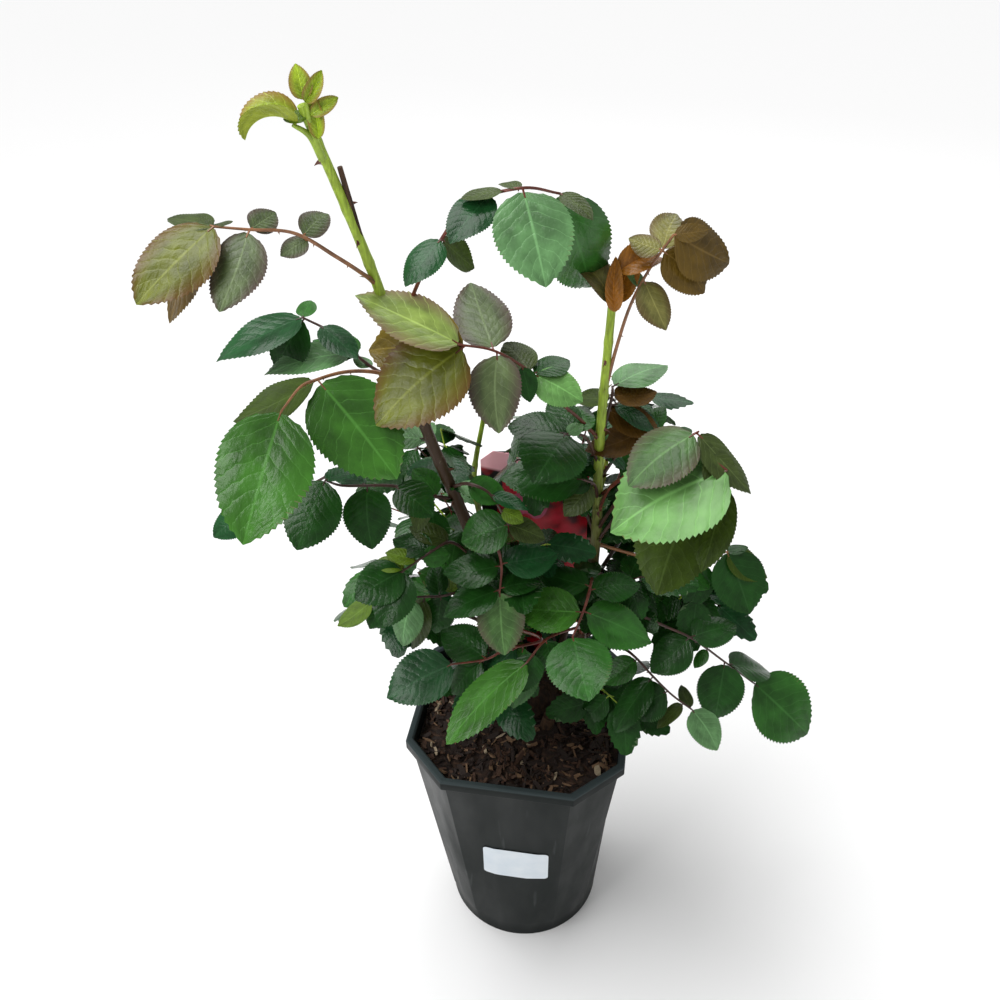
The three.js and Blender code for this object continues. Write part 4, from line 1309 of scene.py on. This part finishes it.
def cane_mesh(name, line, radii):
    """A round cane along its line, a little under size for the bark's relief."""
    curve = bpy.data.curves.new(name, "CURVE")
    curve.dimensions = "3D"
    curve.bevel_depth = 1.0
    curve.bevel_resolution = 5
    curve.use_fill_caps = True
    spline = curve.splines.new("POLY")
    spline.points.add(len(line) - 1)
    for point, place, radius in zip(spline.points, line, radii):
        point.co = (*(place * MM), 1.0)
        point.radius = radius * MM * BARK_ALLOWANCE
    piece = bpy.data.objects.new(name + "_bark", curve)
    bpy.context.collection.objects.link(piece)
    only(piece)
    bpy.ops.object.convert(target="MESH")
    piece = bpy.context.object
    with editing(piece):
        bpy.ops.mesh.remove_doubles(threshold=WELD / 2)
        bpy.ops.mesh.normals_make_consistent(inside=False)
    return piece


def grow_thorns(thorns, line, distances, radii, random):
    """Thorns in a spiral up a cane."""
    spacing = bpy.context.scene.rose_sizes.thorn_spacing / MM
    turn = random.uniform(0, 2 * np.pi)
    for distance in np.arange(THORNS_FROM, distances[-1] - THORNS_END, spacing):
        place = distance + random.uniform(-5, 5)
        index = int(np.argmin(np.abs(distances - place)))
        index = min(max(index, 1), len(line) - 2)
        along = unit(line[index + 1] - line[index - 1])
        turn += GOLDEN_TURN
        across = unit(np.cross(along, [math.cos(turn), math.sin(turn), 0.3]))
        grown = random.uniform(0.75, 1.1)
        base = line[index] + across * radii[index] * THORN_SINK
        thorn(thorns, base, across, along, THORN_LENGTH * grown, THORN_WIDTH * grown)


def make_canes():
    """The canes with bark relief and swollen joints, and their thorns."""
    random = np.random.default_rng(5)
    thorns = Bundle()
    for name, cane in CANES.items():
        line = CANE_LINES[name]
        distances = distances_along(line)
        radii = cane_radii(cane, distances, random)
        piece = cane_mesh(name, line, radii)
        relief(piece, name + "_ridges", 0.006, 0.00015)
        smoothed(piece, 40)
        piece.data.materials.clear()
        piece.data.materials.append(cane_bark(name + "_bark", cane["greening"]))
        finished(piece, "green_wood", name)
        grow_thorns(thorns, line, distances, radii, random)
    finished(thorns.piece("thorns", [plain_stalk("thorn_horn", colour_of("thorn"))]), "green_wood")


def make_graft():
    """The knobbly union that the canes grow from."""
    graft = copy_of_node("graft", "graft_union")
    applied(graft, "SUBSURF", levels=3, render_levels=3)
    relief(graft, "graft_knobs", 0.009, 0.005)
    relief(graft, "graft_cracks", 0.0025, 0.0016)
    smoothed(graft, 60)
    graft.data.materials.append(old_bark("graft_bark", colour_of("old_wood")))
    finished(graft, "old_wood", "graft")


def make_stubs():
    """The stubs cut off beside the graft and the dead one on the left cane."""
    for name, stub in STUBS.items():
        bpy.ops.object.select_all(action="DESELECT")
        start, end = Vector(stub["from"]) * MM, Vector(stub["to"]) * MM
        bpy.ops.mesh.primitive_cone_add(
            vertices=20, radius1=stub["foot"] * MM, radius2=stub["tip"] * MM, depth=(end - start).length,
            location=(start + end) / 2, rotation=(end - start).to_track_quat("Z", "Y").to_euler(),
        )
        piece = bpy.context.object
        piece.name = piece.data.name = name + "_wood"
        settled(piece)
        with editing(piece):
            bpy.ops.mesh.subdivide(number_cuts=4)
        relief(piece, name + "_grain", 0.004, stub["tip"] * MM * 0.22)
        smoothed(piece, 40)
        piece.data.materials.append(old_bark(name + "_bark", stub["colour"]))
        finished(piece, "old_wood", name)


# ---------------------------------------------------------------------------- the foliage

STALK_STEPS = 60
TWIG_STEPS = 20
DENSE_STALK_STEPS = 14
SPIRE_STEPS = 12
TWIG_RADII = (2.2, 1.1)
SPIRE_RADII = (2.6, 1.3)
LAST_LEAFLET_ELEVATION = (-45, 5)
SIDE_LEAFLET_ELEVATION = (-40, 10)
SIDE_LEAFLET_SPREAD = (62, 85)
TWO_PAIRS_SHARE = 0.8


def grow_large_leaves(foliage):
    """The leaves that show by themselves, each from its own place on a cane."""
    for seed, leaf in enumerate(LEAVES.values()):
        line = smooth_line([on_cane(leaf["cane"], leaf["height"]), *leaf["line"]], STALK_STEPS)
        foliage.grow_leaf(line, leaf, np.random.default_rng(100 + seed), fine=True)


def dense_leaflets(heading, side, random):
    """The leaflets of one dense leaf that heads outwards: the last one and one or two pairs behind it."""
    length = bpy.context.scene.rose_sizes.dense_leaflet / MM * random.uniform(0.85, 1.15)
    tint = random.choice(DENSE_TINTS)
    elevation = random.uniform(*LAST_LEAFLET_ELEVATION)
    leaflets = [(1.0, heading, elevation, length, LEAFLET_WIDTH, 12 * random.normal() - 28 * side, tint)]
    for pair in range(1, 3 if random.uniform() < TWO_PAIRS_SHARE else 2):
        for hand in (-1, 1):
            azimuth = heading + hand * random.uniform(*SIDE_LEAFLET_SPREAD)
            size = length * (0.95 - 0.15 * pair) * random.uniform(0.9, 1.1)
            lean = 12 * random.normal() - 28 * side
            elevation = random.uniform(*SIDE_LEAFLET_ELEVATION)
            leaflets.append((1 - 0.3 * pair, azimuth, elevation, size, LEAFLET_WIDTH, lean, tint))
    return leaflets


def grow_mass(foliage, twigs, mass, random):
    """One dense mass: a twig from its cane into the mass, and leaves that spiral out from the twig."""
    middle, half, cane, height, leaves = mass
    middle = np.array(middle, dtype=float)
    half = np.array(half, dtype=float)
    end = middle + half * (0.1, 0.1, 0.35) * random.uniform(-1, 1, 3)
    start = on_cane(cane, height)
    twig = smooth_line([start, (start + end) / 2 + UP * 8, end], TWIG_STEPS)
    tube(twigs, twig, np.linspace(*TWIG_RADII, len(twig)), 7)
    turn = random.uniform(0, 2 * np.pi)
    for index in range(leaves):
        turn += GOLDEN_TURN
        share = (index + 0.5) / leaves
        level = 1 - 2 * share
        flat = math.sqrt(max(0.0, 1 - level * level))
        outward = np.array([math.cos(turn) * flat, math.sin(turn) * flat, level * 0.85 + 0.1])
        last = middle + half * outward * (1.0, 1.0, 1.25) * random.uniform(0.45, 0.72)
        foot = twig[9 + int(10 * share)]
        line = smooth_line([foot, (foot + last) / 2 + UP * random.uniform(2, 8), last], DENSE_STALK_STEPS)
        heading = math.degrees(math.atan2(outward[1], outward[0]))
        leaflets = dense_leaflets(heading, outward[1] + middle[1] / 90, random)
        leaf = {"stalk": random.choice(["dark", "red", "green"]), "leaflets": leaflets}
        foliage.grow_leaf(line, leaf, random, fine=False)


def grow_shoot_tips(foliage):
    """The young leaves that unfold at the tips of the two tallest canes."""
    for seed, (name, leaves) in enumerate(SHOOT_TIPS.items()):
        random = np.random.default_rng(300 + seed)
        for knots in (SHOOT_STALKS[name], SHOOT_SPIRE[name]):
            line = smooth_line(knots, SPIRE_STEPS)
            tube(foliage.stalk("green"), line, np.linspace(*SPIRE_RADII, len(line)), 8)
        for base, azimuth, elevation, length, width, lean, fold, curl, tint in leaves:
            direction = pointing(azimuth, elevation)
            normal = facing(direction, lean)
            base = np.array(base, dtype=float)
            leaflet(foliage.tint(tint), base, direction, normal, length, random, True, width, fold, curl)


def nodes_by_tint():
    """The construction nodes that each tint's leaflets stand for: a leaf goes by its first leaflet's tint."""
    nodes = {}
    for name, leaf in LEAVES.items():
        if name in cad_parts:
            nodes.setdefault(leaf["leaflets"][0][-1], []).append(name)
    for name, leaves in SHOOT_TIPS.items():
        nodes.setdefault(leaves[0][-1], []).append(name)
    nodes.setdefault("deep", []).extend(MASSES)
    return nodes


def nodes_by_stalk():
    """The construction nodes that each colour's stalks stand for."""
    nodes = {}
    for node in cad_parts:
        if node.startswith("stalk_"):
            leaf = LEAVES[node.replace("stalk_", "leaf_")]
            nodes.setdefault(leaf["stalk"], []).append(node)
    return nodes


def make_foliage():
    """Grows every leaf and joins the leaflets by tint and the stalks by colour."""
    foliage = Foliage()
    grow_large_leaves(foliage)
    grow_shoot_tips(foliage)
    twigs = Bundle()
    for seed, mass in enumerate(MASSES.values()):
        grow_mass(foliage, twigs, mass, np.random.default_rng(200 + seed))
    finished(twigs.piece("twigs", [plain_stalk("twig_bark", colour_of("twig"))]), "green_wood")
    nodes = nodes_by_tint()
    for tint, bundle in foliage.tints.items():
        piece = bundle.piece("leaflets_" + tint, [leaf_upper(tint), leaf_under(tint)])
        finished(piece, TINTS[tint].slot, *nodes.get(tint, []))
    nodes = nodes_by_stalk()
    for kind, bundle in foliage.stalks.items():
        skin = plain_stalk("stalk_" + kind, colour_of("stalk_" + kind))
        finished(bundle.piece("leaf_stalks_" + kind, [skin]), "leaf_stalk", *nodes.get(kind, []))


TAG_EDGE = 0.3


def make_tag():
    """The picture tag: the card with rounded edges and a generic design."""
    tag = copy_of_node("tag", "picture_tag")
    applied(tag, "BEVEL", width=TAG_EDGE * MM, segments=2, limit_method="ANGLE", angle_limit=math.radians(30))
    smoothed(tag, 30)
    tag.data.materials.append(printed_card())
    finished(tag, "tag", "tag")


# ---------------------------------------------------------------------------- stage

FLOOR_SIZE = 14.0
FLOOR_COLOUR = (0.93, 0.93, 0.93)
CAMERA_PLACE = (-0.018, -0.677, 1.048)
CAMERA_PITCH = math.radians(37.6)
CAMERA_ROLL = math.radians(-1.3)
CAMERA_LENS = 37.4
SENSOR_WIDTH = 36.0
LIT_POINT = (0.0, 0.0, 0.5)
SURROUND_STRENGTH = 0.4

# Each light: its kind, its place, its angle in radians or its side in metres, and its power.
LIGHTS = {
    "sky": ("SUN", (-0.5, 0.25, 2.0), 0.7, 2.1),
    "key": ("AREA", (-1.2, -0.9, 1.9), 0.9, 15.0),
    "back": ("AREA", (0.6, 1.5, 1.7), 1.2, 8.0),
}


def make_floor():
    """The pale floor."""
    bpy.ops.object.select_all(action="DESELECT")
    bpy.ops.mesh.primitive_plane_add(size=FLOOR_SIZE, location=(0, 0, 0))
    floor = bpy.context.object
    floor.name = "floor"
    floor.data.materials.append(new_material("floor_paint", FLOOR_COLOUR, 0.9)[0])


def make_lights():
    """The lights, turned towards the plant's middle, and an even white surround."""
    for name, (kind, place, size, power) in LIGHTS.items():
        light = bpy.data.lights.new(name, kind)
        if kind == "SUN":
            light.angle = size
        else:
            light.size = size
        light.energy = power
        lamp = bpy.data.objects.new(name, light)
        lamp.location = place
        lamp.rotation_euler = (Vector(LIT_POINT) - Vector(place)).to_track_quat("-Z", "Y").to_euler()
        bpy.context.collection.objects.link(lamp)
    world = bpy.data.worlds.new("studio")
    world.use_nodes = True
    background = world.node_tree.nodes["Background"]
    background.inputs["Color"].default_value = (1.0, 1.0, 1.0, 1.0)
    background.inputs["Strength"].default_value = SURROUND_STRENGTH
    bpy.context.scene.world = world


def make_camera():
    """The camera, and a plain view transform that keeps dark greens and a white floor as they are."""
    data = bpy.data.cameras.new("camera")
    data.sensor_width = SENSOR_WIDTH
    data.lens = CAMERA_LENS
    camera = bpy.data.objects.new("camera", data)
    camera.matrix_world = (
        Matrix.Translation(CAMERA_PLACE)
        @ Matrix.Rotation(math.pi / 2 - CAMERA_PITCH, 4, "X")
        @ Matrix.Rotation(CAMERA_ROLL, 4, "Z")
    )
    bpy.context.collection.objects.link(camera)
    bpy.context.scene.camera = camera
    bpy.context.scene.view_settings.view_transform = "Standard"


# ---------------------------------------------------------------------------- add-on


YOUNG_GREEN = (0.42, 0.60, 0.06)


def colour_setting(name, description, default):
    """A colour in the panel."""
    return FloatVectorProperty(
        name=name, description=description, default=default, size=3, subtype="COLOR", min=0.0, max=1.0
    )


class RoseSizes(bpy.types.PropertyGroup):
    """Sizes a gardener would change."""

    leaflet_width: FloatProperty(
        name="Leaflet width", description="Share of each leaflet's own width", default=1.0, subtype="FACTOR"
    )
    dense_leaflet: FloatProperty(
        name="Dense leaflet", description="Length of a leaflet in the masses", default=0.043, unit="LENGTH"
    )
    thorn_spacing: FloatProperty(
        name="Thorn spacing", description="Distance between thorns along a cane", default=0.031, unit="LENGTH"
    )
    pot_edge: FloatProperty(
        name="Pot edge", description="Rounding of the pot's edges", default=0.0011, unit="LENGTH"
    )
    chip_count: IntProperty(name="Chips", description="Bark chips on the compost", default=1300, min=0)


class RoseColours(bpy.types.PropertyGroup):
    """Colours a gardener would change; the leaves' own follow from TINTS."""

    pot: colour_setting("Pot", "Moulded plastic", (0.0070, 0.0099, 0.0093))
    old_wood: colour_setting("Old wood", "Bark at the foot of the canes", (0.048, 0.022, 0.009))
    green_wood: colour_setting("Green wood", "Bark in the middle of the canes", (0.21, 0.26, 0.05))
    lime_wood: colour_setting("Lime wood", "Bark near the tips", YOUNG_GREEN)
    thorn: colour_setting("Thorn", "Thorns", (0.16, 0.045, 0.02))
    twig: colour_setting("Twig", "Twigs in the dense masses", (0.07, 0.035, 0.02))
    stalk_red: colour_setting("Red stalk", "Red-brown leaf stalks", (0.19, 0.045, 0.025))
    stalk_tan: colour_setting("Tan stalk", "Tan leaf stalks", (0.36, 0.16, 0.07))
    stalk_dark: colour_setting("Dark stalk", "Dark leaf stalks", (0.075, 0.03, 0.02))
    stalk_green: colour_setting("Green stalk", "Young green leaf stalks", YOUNG_GREEN)
    chip_dark: colour_setting("Dark chip", "Dark bark chips", (0.028, 0.014, 0.009))
    chip_brown: colour_setting("Brown chip", "Brown bark chips", (0.09, 0.042, 0.022))
    chip_tan: colour_setting("Tan chip", "Tan bark chips", (0.26, 0.15, 0.08))
    chip_pale: colour_setting("Pale chip", "Pale splinters", (0.55, 0.43, 0.29))


def leaf_colour_settings():
    """The colours in the panel of each tint's upper side and underside."""
    settings = {}
    for name, tint in TINTS.items():
        title = name.capitalize() + " leaf"
        settings[name] = colour_setting(title, tint.about + ", upper side", tint.upper)
        title += " underside"
        settings[name + "_under"] = colour_setting(title, tint.about + ", underside", tint.under)
    return settings


RoseColours.__annotations__.update(leaf_colour_settings())


class ROSE_OT_pot(bpy.types.Operator):
    """Build the moulded pot"""

    bl_idname = "rose.pot"
    bl_label = "Pot"

    def execute(self, context):
        make_pot()
        return {"FINISHED"}


class ROSE_OT_label(bpy.types.Operator):
    """Build the bare label on the pot's wall"""

    bl_idname = "rose.label"
    bl_label = "Label"

    def execute(self, context):
        make_label()
        return {"FINISHED"}


class ROSE_OT_compost(bpy.types.Operator):
    """Build the compost"""

    bl_idname = "rose.compost"
    bl_label = "Compost"

    def execute(self, context):
        make_compost()
        return {"FINISHED"}


class ROSE_OT_chips(bpy.types.Operator):
    """Strew bark chips over the compost"""

    bl_idname = "rose.chips"
    bl_label = "Chips"

    def execute(self, context):
        make_chips()
        return {"FINISHED"}


class ROSE_OT_tag(bpy.types.Operator):
    """Build the picture tag"""

    bl_idname = "rose.tag"
    bl_label = "Tag"

    def execute(self, context):
        make_tag()
        return {"FINISHED"}


class ROSE_OT_canes(bpy.types.Operator):
    """Grow the canes and their thorns"""

    bl_idname = "rose.canes"
    bl_label = "Canes and thorns"

    def execute(self, context):
        make_canes()
        return {"FINISHED"}


class ROSE_OT_graft(bpy.types.Operator):
    """Build the graft"""

    bl_idname = "rose.graft"
    bl_label = "Graft"

    def execute(self, context):
        make_graft()
        return {"FINISHED"}


class ROSE_OT_stubs(bpy.types.Operator):
    """Build the cut and dead stubs"""

    bl_idname = "rose.stubs"
    bl_label = "Stubs"

    def execute(self, context):
        make_stubs()
        return {"FINISHED"}


class ROSE_OT_foliage(bpy.types.Operator):
    """Grow the leaves, their stalks and the twigs"""

    bl_idname = "rose.foliage"
    bl_label = "Foliage"

    def execute(self, context):
        make_foliage()
        return {"FINISHED"}


class ROSE_OT_stage(bpy.types.Operator):
    """Set the floor, the lights and the camera"""

    bl_idname = "rose.stage"
    bl_label = "Stage"

    def execute(self, context):
        make_floor()
        make_lights()
        make_camera()
        return {"FINISHED"}


OPERATORS = (
    ROSE_OT_pot, ROSE_OT_label, ROSE_OT_compost, ROSE_OT_chips, ROSE_OT_tag, ROSE_OT_canes, ROSE_OT_graft,
    ROSE_OT_stubs, ROSE_OT_foliage, ROSE_OT_stage,
)


class ROSE_PT_panel(bpy.types.Panel):
    """Lists the rose bush's operators and settings."""

    bl_label = "Rose Bush"
    bl_idname = "ROSE_PT_panel"
    bl_space_type = "VIEW_3D"
    bl_region_type = "UI"
    bl_category = "Rose Bush"

    def draw(self, context):
        for step in OPERATORS:
            self.layout.operator(step.bl_idname)
        for group in (context.scene.rose_sizes, context.scene.rose_colours):
            for name in group.bl_rna.properties.keys():
                if name not in ("rna_type", "name"):
                    self.layout.prop(group, name)


CLASSES = (RoseSizes, RoseColours, *OPERATORS, ROSE_PT_panel)


def register():
    """Registers the add-on's classes and settings."""
    for item in CLASSES:
        bpy.utils.register_class(item)
    bpy.types.Scene.rose_sizes = PointerProperty(type=RoseSizes)
    bpy.types.Scene.rose_colours = PointerProperty(type=RoseColours)


def unregister():
    """Removes what register added."""
    del bpy.types.Scene.rose_colours
    del bpy.types.Scene.rose_sizes
    for item in reversed(CLASSES):
        bpy.utils.unregister_class(item)


def main():
    """Builds every piece."""
    register()
    for step in OPERATORS:
        getattr(bpy.ops.rose, step.bl_idname.split(".")[1])()


if __name__ == "__main__":
    main()
